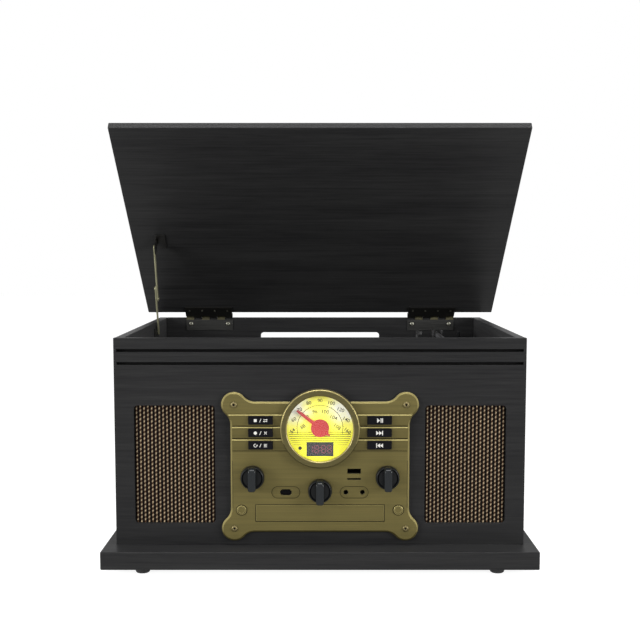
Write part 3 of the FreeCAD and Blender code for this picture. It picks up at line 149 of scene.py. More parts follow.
def splitAxes(tree, vector, axis):
    return addNode(tree, "ShaderNodeSeparateXYZ", inputs={"Vector": vector}).outputs[axis]


def seenRays(tree):
    # 1 for rays that show the surroundings: straight from the camera, in a gloss or through glass
    path = addNode(tree, "ShaderNodeLightPath")
    seen = maths(tree, "MAXIMUM", path.outputs["Is Camera Ray"], path.outputs["Is Glossy Ray"])
    return maths(tree, "MAXIMUM", seen, path.outputs["Is Transmission Ray"])


def woodFinish(name, along, dark, light, rough=0.5, grooveShade=None):
    # Black stained ash: pores 1 mm apart, streaks 3 mm wide and a broad figure of 26 mm along one axis.
    # Grooves get black painted shade behind a depth and between two heights, in metres.
    material, tree, shader, coords = newMaterial(name)

    def scaled(alongScale, acrossScale):
        return tuple(alongScale if axis == along else acrossScale for axis in range(3))

    pores = streaks(tree, coords, scaled(28, 950), 2.0)
    lines = streaks(tree, coords, scaled(9, 330), 4.0)
    figure = streaks(tree, coords, scaled(3, 38), 3.0)
    broad = maths(tree, "MULTIPLY_ADD", lines, 0.36, maths(tree, "MULTIPLY", figure, 0.3))
    mixed = maths(tree, "MULTIPLY_ADD", pores, 0.34, broad)
    colour = ramp(tree, mixed, [(0.34, dark), (0.66, light)])
    # Black inside the grooves is painted shade
    if grooveShade:
        depth, floorZ, roofZ = grooveShade
        grooveShadeMask = maths(
            tree, "MULTIPLY",
            between(tree, splitAxes(tree, coords, "Y"), depth, depth + 0.006),
            between(tree, splitAxes(tree, coords, "Z"), floorZ, roofZ),
        )
        colour = blend(tree, grooveShadeMask, colour, toLinear("#040404"))
    gloss = spread(tree, pores, rough - 0.12, rough + 0.14)
    setShader(tree, shader, Base_Color=colour, Roughness=gloss, Specular_IOR_Level=0.1)
    addBump(tree, shader, mixed, 0.0003, 0.35)
    return material


def brushedMetal(name, dark, light, along=0, rough=0.4, metallic=0.8, toneAndPaintedLight=None):
    # Brushed metal: hair lines 0.4 mm apart, as fine as shows, over bands of 2.4 mm.
    # Its last argument holds the colours of painted highlights on gently sloping edges and on chamfers that
    # face up or sideways, and of painted shade on walls behind a depth in metres.
    material, tree, shader, coords = newMaterial(name)
    hair = streaks(tree, coords, tuple(14 if axis == along else 2600 for axis in range(3)), 2.0)
    bands = streaks(tree, coords, tuple(5 if axis == along else 420 for axis in range(3)), 3.0)
    mixed = maths(tree, "MULTIPLY_ADD", hair, 0.6, maths(tree, "MULTIPLY", bands, 0.4))
    colour = ramp(tree, mixed, [(0.36, dark), (0.64, light)])
    gloss = spread(tree, hair, rough - 0.08, rough + 0.1)
    # Painted highlights on slopes and chamfers, and painted shade on walls behind a depth
    if toneAndPaintedLight:
        slopeHighlightColour, chamferHighlightColour, wallShadeColour, wallDepth = toneAndPaintedLight
        facing = addNode(tree, "ShaderNodeNewGeometry").outputs["True Normal"]
        front = maths(tree, "ABSOLUTE", splitAxes(tree, facing, "Y"))
        slopeHighlight = between(tree, front, 0.8, 0.94)
        upward = maths(tree, "GREATER_THAN", splitAxes(tree, facing, "Z"), -0.25)
        chamferHighlight = maths(tree, "MULTIPLY", upward, between(tree, front, 0.3, 0.8))
        behind = maths(tree, "GREATER_THAN", splitAxes(tree, coords, "Y"), wallDepth)
        wallShade = maths(tree, "MULTIPLY", behind, maths(tree, "LESS_THAN", front, 0.3))
        colour = blend(tree, slopeHighlight, colour, toLinear(slopeHighlightColour))
        colour = blend(tree, chamferHighlight, colour, toLinear(chamferHighlightColour))
        colour = blend(tree, wallShade, colour, toLinear(wallShadeColour))
        metallic = maths(tree, "MULTIPLY_ADD", wallShade, -metallic, metallic)
        gloss = maths(tree, "MULTIPLY_ADD", slopeHighlight, -0.2, gloss)
    setShader(tree, shader, Base_Color=colour, Metallic=metallic, Roughness=gloss)
    addBump(tree, shader, hair, 0.00005, 0.25)
    return material


def twoTone(name, low, high, height, rough=0.4, metallic=0.3):
    # Metal that is painted below a height, in metres, and antique brass above it
    material, tree, shader, coords = newMaterial(name)
    hair = streaks(tree, coords, (40, 900, 900), 2.0)
    upper = maths(tree, "GREATER_THAN", splitAxes(tree, coords, "Z"), height)
    tone = ramp(tree, hair, [(0.3, "#b0b0b0"), (0.7, "#ffffff")])
    toneAndPaintedLight = addNode(
        tree, "ShaderNodeMix", {"data_type": "RGBA", "blend_type": "MULTIPLY"},
        {0: 1.0, 6: blend(tree, upper, toLinear(low), toLinear(high)), 7: tone},
    )
    gloss = spread(tree, hair, rough - 0.08, rough + 0.1)
    setShader(tree, shader, Base_Color=toneAndPaintedLight.outputs[2], Metallic=metallic, Roughness=gloss)
    addBump(tree, shader, hair, 0.00005, 0.25)
    return material


def grained(name, dark, light, rough, grain=1800, depth=0.00003, metallic=0.0, coat=0.0, specular=0.5):
    # Moulded or cast surface: a fine speckle in colour, gloss and height
    material, tree, shader, coords = newMaterial(name)
    speckle = streaks(tree, coords, (grain, grain, grain), 3.0)
    cloud = streaks(tree, coords, (60, 60, 60), 3.0)
    mixed = maths(tree, "MULTIPLY_ADD", speckle, 0.5, maths(tree, "MULTIPLY", cloud, 0.5))
    setShader(
        tree, shader,
        Base_Color=ramp(tree, mixed, [(0.35, dark), (0.65, light)]),
        Roughness=spread(tree, cloud, max(rough - 0.07, 0.03), rough + 0.07),
        Metallic=metallic,
        Coat_Weight=coat,
        Specular_IOR_Level=specular,
    )
    addBump(tree, shader, speckle, depth, 0.4)
    return material


# Stained ash with the grain along X; a darker copy for the front as painted shade, with painted shade in its
# grooves;
# a lighter copy with the grain along Y as painted light; and the darker inside of the lid
ashAlongX = woodFinish("blackAshAlongX", 0, "#151516", "#252525")
ashFrontShaded = woodFinish("blackAshFrontShaded", 0, "#131314", "#222222", grooveShade=(-0.1486, 0.21, 0.234))
ashAlongYLit = woodFinish("blackAshAlongYLit", 1, "#1f1f20", "#353535")
lidAsh = woodFinish("blackAshLid", 0, "#161617", "#2b2b2b")

# Antique brass: an olive sheen with painted highlights on its edges and painted shade on its hole walls, and
# darker on screws and hinges
plateBrass = brushedMetal(
    "antiqueBrassBrushed", "#4d4622", "#5a5129", rough=0.58, metallic=0.6,
    toneAndPaintedLight=("#8a8050", "#6c6339", "#15130c", -0.1531),
)
bezelBrass = brushedMetal(
    "antiqueBrassSatin", "#454024", "#524b2c", rough=0.45, metallic=0.75,
    toneAndPaintedLight=("#6a6139", "#7a7047", "#2a2617", -0.158),
)
dullBrass = brushedMetal("antiqueBrassScrew", "#554d30", "#675d3c", rough=0.45, metallic=0.7)
hingeBrass = brushedMetal("darkAntiqueBrass", "#4d4a33", "#6f6b4c", rough=0.38, metallic=0.85)
stayBrass = brushedMetal("paleAntiqueBrass", "#77755c", "#979578", 2, rough=0.42, metallic=0.6)
hingeLeaf = twoTone("paintedBrassLeaf", "#272725", "#4a462f", 0.2405)
# Dark line ink: engraved outlines, and painted shade in gaps, creases and along the plate's sides
engravingAndShade = grained("engravedLineAndShade", "#1f1b0a", "#2a2511", 0.6, specular=0.1)

# Steel and aluminium: hair lines that catch the light, dull on screws and black on brackets
screwSteel = brushedMetal("dullSteelScrew", "#66655c", "#88877c", rough=0.4, metallic=0.9)
blackSteel = brushedMetal("blackenedSteel", "#121212", "#1e1d1a", rough=0.45, metallic=0.6)
brightSteel = brushedMetal("brushedSteel", "#8d8d90", "#b9b9bc", rough=0.35, metallic=1.0)
turnedAluminium = brushedMetal("turnedAluminium", "#a5a6a8", "#c6c7c9", rough=0.4, metallic=1.0)

# Moulded black plastic: from a wet gloss to a fine matte grain, with dark windows and recesses
glossBlack = grained("glossBlackPlastic", "#0a0b0c", "#121416", 0.2, 900, 0.00001, coat=0.3)
buttonBlack = grained("satinBlackPlastic", "#08080a", "#0e0d11", 0.45, 1500, 0.00002, specular=0.06)
matteBlack = grained("matteBlackPlastic", "#141414", "#212121", 0.55)
deckBlack = grained("deckBlackPlastic", "#161616", "#242424", 0.48)
windowDark = grained("smokedWindow", "#030304", "#070708", 0.3, 700, 0.00001, specular=0.04)
displayDark = grained("displayWindow", "#2c302f", "#333836", 0.4, 300, 0.000004, specular=0.1)
# Recess black is also the painted shade in the screw-head recesses
recessBlack = grained("recessBlack", "#0a0806", "#14100c", 0.5, specular=0.1)

# Rubber, solder mask, pressed paper pulp and cord: soft and without gloss
blackRubber = grained("blackRubber", "#101010", "#1b1b1b", 0.75, 1200, 0.00005)
boardGreen = grained("solderMaskGreen", "#0f3d22", "#1a5a33", 0.35, 500, 0.00004)
pulpPaper = grained("pulpPaper", "#1c1b1a", "#2d2b29", 0.85, 900, 0.0002)
plainWeave = grained("blackCord", "#1c1916", "#2c2621", 0.8, 2500, 0.00008)

# Paint and printing ink: flat colour with a slight grain
pointerRed = grained("pointerRedPaint", "#a52424", "#b32b2a", 0.4, 1500, 0.00001)
printBlack = grained("printedInk", "#35331a", "#403e22", 0.7, specular=0.1)
printWhite = grained("whiteLegend", "#b9b7b2", "#cccac5", 0.5, specular=0.2)


def dialPaper():
    # Yellow printed card lit from behind, with a painted pale reflection towards its top and its sides
    material, tree, shader, coords = newMaterial("dialCardYellow")
    across = maths(tree, "ABSOLUTE", splitAxes(tree, coords, "X"))
    rise = addNode(
        tree, "ShaderNodeMapRange",
        inputs={"Value": splitAxes(tree, coords, "Z"), "From Min": 0.143, "From Max": 0.166},
    ).outputs["Result"]
    side = addNode(
        tree, "ShaderNodeMapRange",
        inputs={"Value": across, "From Min": 0.004, "From Max": 0.024, "To Min": 0.3, "To Max": 1.0},
    ).outputs["Result"]
    glareNoise = streaks(tree, coords, (70, 70, 110), 4.0)
    # The pale haze towards the top and the sides is a painted reflection
    paintedGlare = maths(tree, "MULTIPLY", maths(tree, "MULTIPLY", rise, side), spread(tree, glareNoise, 0.3, 1.5))
    colour = ramp(tree, paintedGlare, [(0.0, "#f3ed26"), (0.35, "#ede65e"), (0.85, "#e6e5d2")])
    setShader(tree, shader, Base_Color=colour, Roughness=0.6, Emission_Color=colour, Emission_Strength=0.34)
    addBump(tree, shader, glareNoise, 0.00002, 0.2)
    return material


def clearGlass():
    # Thin clear pane: lets light straight through and keeps a faint sheen
    material, tree, shader, coords = newMaterial("clearGlass")
    smear = streaks(tree, coords, (90, 90, 90), 3.0)
    clear = addNode(tree, "ShaderNodeBsdfTransparent")
    gloss = addNode(tree, "ShaderNodeBsdfGlossy", inputs={"Roughness": spread(tree, smear, 0.02, 0.08)})
    mixed = addNode(tree, "ShaderNodeMixShader", inputs={0: 0.03, 1: clear.outputs[0], 2: gloss.outputs[0]})
    tree.links.new(mixed.outputs[0], tree.nodes["Material Output"].inputs["Surface"])
    return material


def knobPlastic():
    # Gloss black plastic, dull and dark in the dish, with a painted sheen of lighter grey on the raised grip
    material, tree, shader, coords = newMaterial("knobBlackPlastic")
    speckle = streaks(tree, coords, (900, 900, 900), 3.0)
    # Lighter grey towards the raised grip is painted sheen
    raisedSheen = addNode(
        tree, "ShaderNodeMapRange",
        inputs={"Value": splitAxes(tree, coords, "Y"), "From Min": -0.1595, "From Max": -0.163},
    ).outputs["Result"]
    moulded = ramp(tree, speckle, [(0.35, "#050607"), (0.65, "#0a0c0d")])
    setShader(
        tree, shader,
        Base_Color=blend(tree, raisedSheen, moulded, toLinear("#16191b")),
        Roughness=spread(tree, raisedSheen, 0.4, 0.14),
        Specular_IOR_Level=0.18,
    )
    addBump(tree, shader, speckle, 0.00001, 0.4)
    return material


def litSegments():
    # Display segments with a dim red glow
    material, tree, shader, coords = newMaterial("dimRedSegments")
    speckle = streaks(tree, coords, (900, 900, 900), 2.0)
    colour = ramp(tree, speckle, [(0.3, "#6b2836"), (0.7, "#823446")])
    setShader(tree, shader, Base_Color=colour, Roughness=0.4, Emission_Color=colour, Emission_Strength=0.15)
    return material


def wovenCloth():
    # Grille cloth: tan beads on brown columns over a black ground, from the colour stored on the mesh
    material, tree, shader, coords = newMaterial("wovenGrilleCloth")
    weave = addNode(tree, "ShaderNodeAttribute", {"attribute_name": "weave"})
    fibre = streaks(tree, coords, (2600, 2600, 900), 3.0)
    fibreTone = ramp(tree, fibre, [(0.3, "#8c8c8c"), (0.7, "#ffffff")])
    tint = addNode(
        tree, "ShaderNodeMix", {"data_type": "RGBA", "blend_type": "MULTIPLY"},
        {"Factor": 0.5, 6: weave.outputs["Color"], 7: fibreTone},
    )
    setShader(tree, shader, Base_Color=tint.outputs[2], Roughness=0.85, Specular_IOR_Level=0.05)
    addBump(tree, shader, fibre, 0.0001, 0.4)
    return material


dialCard = dialPaper()
paneGlass = clearGlass()
segmentRed = litSegments()
knobBlack = knobPlastic()
grilleWeave = wovenCloth()

# The finish and the edge rounding in millimetres of every CAD node that no piece replaces
nodeFinish = {
    "plinth": (ashAlongX, 1.2),
    "front_panel": (ashFrontShaded, 0.5),
    "back_panel": (ashAlongX, 0.6),
    "left_side_panel": (ashAlongYLit, 0.7),
    "right_side_panel": (ashAlongYLit, 0.7),
    "lid_panel": (lidAsh, 0.9),
    "deck_battens": (ashAlongYLit, 0.5),
    "deck_plate": (deckBlack, 0.4),
    "feet": (blackRubber, 0.6),
    "speaker_baskets": (brightSteel, 0.3),
    "speaker_cones": (pulpPaper, 0),
    "control_plate": (plateBrass, 0.3),
    "dial_bezel": (bezelBrass, 0.25),
    "dial_face": (dialCard, 0),
    "dial_glass": (paneGlass, 0),
    "dial_pointer": (pointerRed, 0.15),
    "display_module": (displayDark, 0.3),
    "dial_cord": (plainWeave, 0),
    "receiver_window": (windowDark, 0.3),
    "front_sockets": (recessBlack, 0.15),
    "circuit_boards": (boardGreen, 0.2),
    "potentiometers": (matteBlack, 0.3),
    "disc_housing": (matteBlack, 0.3),
    "disc_drawer": (plateBrass, 0.25),
    "spindle": (brightSteel, 0.2),
    "motor": (brightSteel, 0.5),
    "motor_pulley": (turnedAluminium, 0.2),
    "drive_belt": (blackRubber, 0),
    "platter": (turnedAluminium, 0.4),
    "platter_mat": (blackRubber, 0.3),
    "tonearm_base": (matteBlack, 0.5),
    "tonearm_yoke": (matteBlack, 0.6),
    "tonearm_tube": (brightSteel, 0.2),
    "headshell": (matteBlack, 0.5),
    "arm_rest": (matteBlack, 0.5),
    "cue_lever": (glossBlack, 0.5),
    "speed_selector": (matteBlack, 0.6),
    "hinge_body_leaves": (hingeLeaf, 0.2),
    "hinge_pins": (hingeBrass, 0.2),
    "hinge_body_screws": (screwSteel, 0.2),
    "hinge_lid_leaves": (blackSteel, 0.2),
    "hinge_lid_screws": (screwSteel, 0.15),
    "stay_wall_bracket": (blackSteel, 0.2),
    "stay_lid_bracket": (blackSteel, 0.2),
    "stay_lower_bar": (stayBrass, 0.2),
    "stay_upper_bar": (stayBrass, 0.2),
    "rear_sockets": (matteBlack, 0.3),
    "standby_button": (plateBrass, 0.5),
    "eject_button": (plateBrass, 0.5),
}
for label in ("stop", "record", "program", "play", "next", "previous"):
    nodeFinish[f"{label}_button"] = (buttonBlack, 0.5)


def roundEdges(piece, width):
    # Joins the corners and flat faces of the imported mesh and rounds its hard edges
    piece.data.polygons.foreach_set("use_smooth", [True] * len(piece.data.polygons))
    weld = piece.modifiers.new("joinCorners", "WELD")
    weld.merge_threshold = 0.000002
    if width > 0:
        flats = piece.modifiers.new("joinFlats", "DECIMATE")
        flats.decimate_type = "DISSOLVE"
        flats.angle_limit = math.radians(0.5)
        bevel = piece.modifiers.new("roundEdges", "BEVEL")
        bevel.width = width * mm
        bevel.segments = 2
        bevel.limit_method = "ANGLE"
        bevel.angle_limit = math.radians(35)
        bevel.use_clamp_overlap = True
    weighted = piece.modifiers.new("evenShading", "WEIGHTED_NORMAL")
    weighted.keep_sharp = True


for name, (finish, width) in nodeFinish.items():
    piece = nodes[name]
    piece.data.materials.clear()
    piece.data.materials.append(finish)
    roundEdges(piece, width)
print("CAD nodes finished:", len(nodeFinish))


def addPiece(name, mesh, finish, body):
    # A finished mesh becomes a piece that rides on its body
    bmesh.ops.remove_doubles(mesh, verts=mesh.verts, dist=0.000001)
    bmesh.ops.recalc_face_normals(mesh, faces=mesh.faces)
    data = bpy.data.meshes.new(name)
    mesh.to_mesh(data)
    mesh.free()
    data.polygons.foreach_set("use_smooth", [True] * len(data.polygons))
    data.materials.append(finish)
    piece = bpy.data.objects.new(name, data)
    bpy.context.scene.collection.objects.link(piece)
    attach(piece, body)
    return piece


def middle(name):
    # Centre of a CAD node's box, in millimetres
    low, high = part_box(name)
    return (low + high) / 2 / mm


def circle(x, z, radius, steps):
    turns = [math.tau * step / steps for step in range(steps)]
    return [(x + radius * math.cos(turn), z + radius * math.sin(turn)) for turn in turns]


def turnProfile(mesh, profile, centre, steps=64):
    # Spins (radius, distance towards the viewer) points about an axis through centre, in millimetres
    centre = Vector(centre) * mm
    verts = [mesh.verts.new(centre + Vector((radius * mm, -out * mm, 0))) for radius, out in profile]
    edges = [mesh.edges.new(pair) for pair in zip(verts, verts[1:])]
    bmesh.ops.spin(
        mesh, geom=verts + edges, cent=centre, axis=(0, 1, 0), angle=math.tau, steps=steps, use_merge=True,
    )


def addText(mesh, words, size, place, angle=0.0, thick=0.08, weight=0.0):
    # Flat lettering that faces the front, centred on its place in millimetres and turned by degrees
    curve = bpy.data.curves.new("lettering", "FONT")
    curve.body = words
    curve.align_x = "CENTER"
    curve.align_y = "CENTER"
    curve.size = size * mm
    curve.resolution_u = 3
    curve.offset = weight * mm
    holder = bpy.data.objects.new("lettering", curve)
    flat = bpy.data.meshes.new_from_object(holder)
    stand = Matrix.Translation(Vector(place) * mm) @ Matrix.Rotation(math.radians(90), 4, "X")
    lift = Matrix.Translation((0, 0, thick * mm))
    flat.transform(stand @ Matrix.Rotation(math.radians(angle), 4, "Z") @ lift)
    mesh.from_mesh(flat)
    bpy.data.meshes.remove(flat)
    bpy.data.objects.remove(holder)
    bpy.data.curves.remove(curve)


def addStrip(mesh, points, width, y):
    # A flat line of even width through (x, z) points, in millimetres
    left, right = [], []
    for index, point in enumerate(points):
        before = Vector(points[max(index - 1, 0)])
        after = Vector(points[min(index + 1, len(points) - 1)])
        along = (after - before).normalized()
        side = Vector((-along.y, along.x)) * width / 2
        left.append(mesh.verts.new(Vector((point[0] + side.x, y, point[1] + side.y)) * mm))
        right.append(mesh.verts.new(Vector((point[0] - side.x, y, point[1] - side.y)) * mm))
    for index in range(len(points) - 1):
        mesh.faces.new((left[index], left[index + 1], right[index + 1], right[index]))


def addPolygon(mesh, points, y):
    mesh.faces.new([mesh.verts.new(Vector((x, y, z)) * mm) for x, z in points])


# Dial print: two scales of numbers on arcs (radius, words, first and last angle, size), an arc with ticks,
# ruled lines below (drop, width) and a lamp dot
dial = {
    "centre": (0.0, 150.0),
    "face": -152.0,
    "outer": (28.4, ["54", "60", "70", "80", "90", "100", "120", "140", "160"], 186, -6, 5.4),
    "inner": (17.6, ["88", "92", "96", "100", "104", "108"], 176, 4, 5.6),
    "arc": (23.6, 196, -16, 0.45),
    "ticks": (45, 0.3, 1.4, 0.8),
    "ruledRadius": 33.0,
    "lamp": (-20.6, 128.9, 1.8),
    "lines": [(-4.4, 0.5), (-6.6, 0.6), (-8.8, 0.6), (-11.0, 0.5), (-13.2, 0.5), (-15.4, 0.4), (-17.6, 0.4)],
}
printMesh = bmesh.new()
dialX, dialZ = dial["centre"]
for key in ("outer", "inner"):
    radius, words, first, last, size = dial[key]
    for index, word in enumerate(words):
        degrees = first + (last - first) * index / (len(words) - 1)
        turn = math.radians(degrees)
        place = (dialX + radius * math.cos(turn), dial["face"], dialZ + radius * math.sin(turn))
        addText(printMesh, word, size, place, (degrees - 90) * 0.4, weight=0.04)
printFace = dial["face"] - 0.08
radius, first, last, width = dial["arc"]
turns = [math.radians(first + (last - first) * step / 60) for step in range(61)]
points = [(dialX + radius * math.cos(turn), dialZ + radius * math.sin(turn)) for turn in turns]
addStrip(printMesh, points, width, printFace)
ticks, width, longTick, shortTick = dial["ticks"]
for step in range(ticks):
    turn = math.radians(first + (last - first) * step / (ticks - 1))
    reach = radius + (longTick if step % 4 == 0 else shortTick)
    ends = [(dialX + r * math.cos(turn), dialZ + r * math.sin(turn)) for r in (radius, reach)]
    addStrip(printMesh, ends, width, printFace)
for drop, width in dial["lines"]:
    half = math.sqrt(dial["ruledRadius"] ** 2 - drop ** 2)
    ends = [(dialX - half, dialZ + drop), (dialX + half, dialZ + drop)]
    addStrip(printMesh, ends, width, printFace)
addPolygon(printMesh, circle(*dial["lamp"], 24), printFace - 0.01)
addPiece("dialPrint", printMesh, printBlack, "cabinet")

# Display digits: four seven-segment figures and a colon
display = {
    "centre": (0.0, 127.8),
    "face": -152.06,
    "figures": "1888",
    "height": 7.6,
    "width": 4.0,
    "pitch": 6.2,
    "stroke": 0.85,
    "gap": 0.14,
    "dot": 0.5,
}
segmentMesh = bmesh.new()
segmentsOf = {"1": "bc", "8": "abcdefg"}
halfH, halfW = display["height"] / 2, display["width"] / 2
segmentEnds = {
    "a": ((-halfW, halfH), (halfW, halfH)),
    "b": ((halfW, halfH), (halfW, 0)),
    "c": ((halfW, 0), (halfW, -halfH)),
    "d": ((-halfW, -halfH), (halfW, -halfH)),
    "e": ((-halfW, -halfH), (-halfW, 0)),
    "f": ((-halfW, 0), (-halfW, halfH)),
    "g": ((-halfW, 0), (halfW, 0)),
}
displayX, displayZ = display["centre"]
for index, figure in enumerate(display["figures"]):
    shift = (index - 1.5) * display["pitch"] + (0.5 if index > 1 else -0.5)
    for segment in segmentsOf[figure]:
        ends = []
        start, end = segmentEnds[segment]
        for (x, z), (otherX, otherZ) in ((start, end), (end, start)):
            pulledX = x + (otherX - x) * display["gap"]
            pulledZ = z + (otherZ - z) * display["gap"]
            ends.append((displayX + shift + pulledX, displayZ + pulledZ))
        addStrip(segmentMesh, ends, display["stroke"], display["face"])
for rise in (-1.6, 1.6):
    addPolygon(segmentMesh, circle(displayX, displayZ + rise, display["dot"], 12), display["face"])
addPiece("displayDigits", segmentMesh, segmentRed, "cabinet")

# Button legends: two plain signs with a slash between them on the left, transport signs on the right.
# The left ones are filled shapes and lines of even width, as (x, z) points from the middle of the button.
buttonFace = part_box("stop_button")[0].y / mm
lineWidth = 0.6
slash = [(-0.8, -1.9), (0.8, 1.9)]
dot = circle(-5.2, 0.0, 1.7, 24)
loopTurns = [math.radians(70 + 280 * step / 24) for step in range(25)]
loop = [(1.6 * math.cos(turn) - 5.2, 1.6 * math.sin(turn)) for turn in loopTurns]
legends = {
    "stop": (
        [
            [(-6.7, -1.5), (-3.7, -1.5), (-3.7, 1.5), (-6.7, 1.5)],
            [(6.2, -0.1), (7.6, 0.9), (6.2, 1.9)],
            [(4.2, 0.1), (2.8, -0.9), (4.2, -1.9)],
        ],
        [[(3.2, 0.9), (6.2, 0.9)], [(7.2, -0.9), (4.2, -0.9)], slash],
    ),
    "record": ([dot], [[(3.8, -1.4), (6.6, 1.4)], [(3.8, 1.4), (6.6, -1.4)], slash]),
    "program": (
        [[(-4.6, -0.1), (-2.6, -0.45), (-3.4, 1.2)]],
        [loop, [(3.6, 1.3), (6.8, 1.3)], [(3.6, 0.0), (6.8, 0.0)], [(3.6, -1.3), (6.8, -1.3)], slash],
    ),
}
for label, (shapes, lines) in legends.items():
    centre = middle(f"{label}_button")
    legendMesh = bmesh.new()
    for points in shapes:
        addPolygon(legendMesh, [(centre.x + x, centre.z + z) for x, z in points], buttonFace - 0.08)
    for points in lines:
        moved = [(centre.x + x, centre.z + z) for x, z in points]
        addStrip(legendMesh, moved, lineWidth, buttonFace - 0.08)
    addPiece(f"{label}Legend", legendMesh, printWhite, f"{label}_button")


def triangle(mesh, x, z, direction, y, reach=3.0, half=2.3):
    addPolygon(mesh, [(x, z - half), (x + direction * reach, z), (x, z + half)], y)


def upright(mesh, x, z, y, half=2.3, width=0.9):
    left, right = x - width / 2, x + width / 2
    addPolygon(mesh, [(left, z - half), (right, z - half), (right, z + half), (left, z + half)], y)


signs = {
    "play": ([(-2.6, 1)], [1.4, 2.9]),
    "next": ([(-3.6, 1), (-0.6, 1)], [3.0]),
    "previous": ([(3.6, -1), (0.6, -1)], [-3.0]),
}
for label, (arrows, bars) in signs.items():
    centre = middle(f"{label}_button")
    legendMesh = bmesh.new()
    for x, direction in arrows:
        triangle(legendMesh, centre.x + x, centre.z, direction, buttonFace - 0.08)
    for x in bars:
        upright(legendMesh, centre.x + x, centre.z, buttonFace - 0.08)
    addPiece(f"{label}Legend", legendMesh, printWhite, f"{label}_button")
print("dial, display and legends made")

# Knobs: a dished skirt of (radius, height) points under a rounded grip bar, with the shaft behind the plate
knob = {
    "seat": -153.3,
    "skirt": [
        (0, 5.6), (9.4, 5.6), (9.9, 5.9), (10.3, 6.6), (10.7, 7.1), (11.1, 7.2), (11.6, 6.9),
        (12.1, 5.8), (12.4, 3.6), (12.4, 0.4), (12.0, 0.0), (0, 0.0),
    ],
    "barWidth": 8.0,
    "barLength": 24.6,
    "barOut": 15.8,
    "corner": 2.4,
    "slope": 2.6,
    "round": 0.9,
    "shaftRadius": 3.0,
}
seat = knob["seat"]
for name in ("volume_knob", "function_knob", "tuning_knob"):
    centre = middle(name)
    knobMesh = bmesh.new()
    turnProfile(knobMesh, knob["skirt"], (centre.x, seat, centre.z), 72)
    barSide = [(4.0, -1.0), (knob["barOut"], -1.0), (knob["barOut"], 1.0), (4.0, 1.0)]
    barSide = [(out, along * knob["barLength"] / 2) for out, along in barSide]
    barSide[2:3] = [
        (knob["barOut"], barSide[2][1] - knob["slope"]),
        (knob["barOut"] - knob["slope"], barSide[2][1]),
    ]
    left = centre.x - knob["barWidth"] / 2
    outline = [
        knobMesh.verts.new(Vector((left, seat - out, centre.z + along)) * mm)
        for out, along in barSide
    ]
    made = bmesh.ops.extrude_face_region(knobMesh, geom=[knobMesh.faces.new(outline)])["geom"]
    barVerts = [part for part in made if isinstance(part, bmesh.types.BMVert)]
    bmesh.ops.translate(knobMesh, vec=Vector((knob["barWidth"], 0, 0)) * mm, verts=barVerts)
    barFront = (seat - knob["barOut"]) * mm
    bar = set(outline + barVerts)
    endEdges = [
        e for e in {edge for vert in bar for edge in vert.link_edges}
        if abs((e.verts[0].co - e.verts[1].co).normalized().y) > 0.6
    ]
    bmesh.ops.bevel(
        knobMesh, geom=endEdges, offset=knob["corner"] * mm, segments=6, profile=0.5,
        affect="EDGES", material=-1,
    )
    frontEdges = [
        e for e in knobMesh.edges
        if all(abs(v.co.y - barFront) < 0.00001 for v in e.verts)
    ]
    bmesh.ops.bevel(
        knobMesh, geom=frontEdges, offset=knob["round"] * mm, segments=3, profile=0.5,
        affect="EDGES", material=-1,
    )
    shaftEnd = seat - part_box(name)[1].y / mm
    shaft = [(0, 0.0), (knob["shaftRadius"], 0.0), (knob["shaftRadius"], shaftEnd), (0, shaftEnd)]
    turnProfile(knobMesh, shaft, (centre.x, seat, centre.z), 32)
    piece = addPiece(name.replace("_knob", "Knob"), knobMesh, knobBlack, name)
    piece.modifiers.new("evenShading", "WEIGHTED_NORMAL").keep_sharp = True
    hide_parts(name)
print("knobs made")

# Plate screws: a domed head with a round recess darkened by a disc of painted shade, from (radius, height)
# points
screw = {
    "face": -153.0,
    "inset": 3.0,
    "profile": [
        (0, -6.0), (1.5, -6.0), (1.5, 0.0), (3.2, 0.0), (3.15, 0.7), (2.6, 1.2), (1.7, 1.45), (1.3, 1.45),
        (1.25, 0.4), (0, 0.4),
    ],
    "recess": (1.25, 0.46),
}
low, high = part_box("plate_screws")
screwAt = [
    (x, z)
    for x in (low.x / mm + screw["inset"], high.x / mm - screw["inset"])
    for z in (low.z / mm + screw["inset"], high.z / mm - screw["inset"])
]
screwMesh = bmesh.new()
for x, z in screwAt:
    turnProfile(screwMesh, screw["profile"], (x, screw["face"], z), 32)
screwPiece = addPiece("plateScrews", screwMesh, dullBrass, "cabinet")
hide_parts("plate_screws")

# A dark disc at the bottom of each screw recess is painted shade
screwShadeMesh = bmesh.new()
radius, rise = screw["recess"]
for x, z in screwAt:
    addPolygon(screwShadeMesh, circle(x, z, radius, 20), screw["face"] - rise)
addPiece("screwRecessShade", screwShadeMesh, recessBlack, "cabinet")

# Dark lines on the plate: engraved round the sunk ovals; painted shade round the round buttons and the
# drawer along their gaps, down both sides inside the edge chamfer, and in the creases under the three bands
plateLines = {
    "face": -153.04,
    "width": 0.55,
    "ringWidth": 0.8,
    "ovalX": 35.5,
    "ovalSize": (29.2, 12.2),
    "ringRadius": 5.45,
    "drawer": (0.0, 60.7, 134.1, 18.1),
    "sides": (90.6, 66.0, 116.0),
    "creaseShade": [(152.05, 1.0), (139.05, 1.0), (126.2, 0.8)],
    "creaseReach": 90.6,
    "bezelRadius": 41.6,
}


def pill(x, z, width, height, steps=12):
    # Outline of a slot with round ends, closed on its first point
    radius = height / 2
    points = []
    for side, start in ((1, -90), (-1, 90)):
        for step in range(steps + 1):
            turn = math.radians(start + 180 * step / steps)
            centre = x + side * (width / 2 - radius)
            points.append((centre + radius * math.cos(turn), z + radius * math.sin(turn)))
    return points + points[:1]


plateLineMesh = bmesh.new()
ovalZ = middle("receiver_window").z
for x in (-plateLines["ovalX"], plateLines["ovalX"]):
    addStrip(plateLineMesh, pill(x, ovalZ, *plateLines["ovalSize"]), plateLines["width"], plateLines["face"])
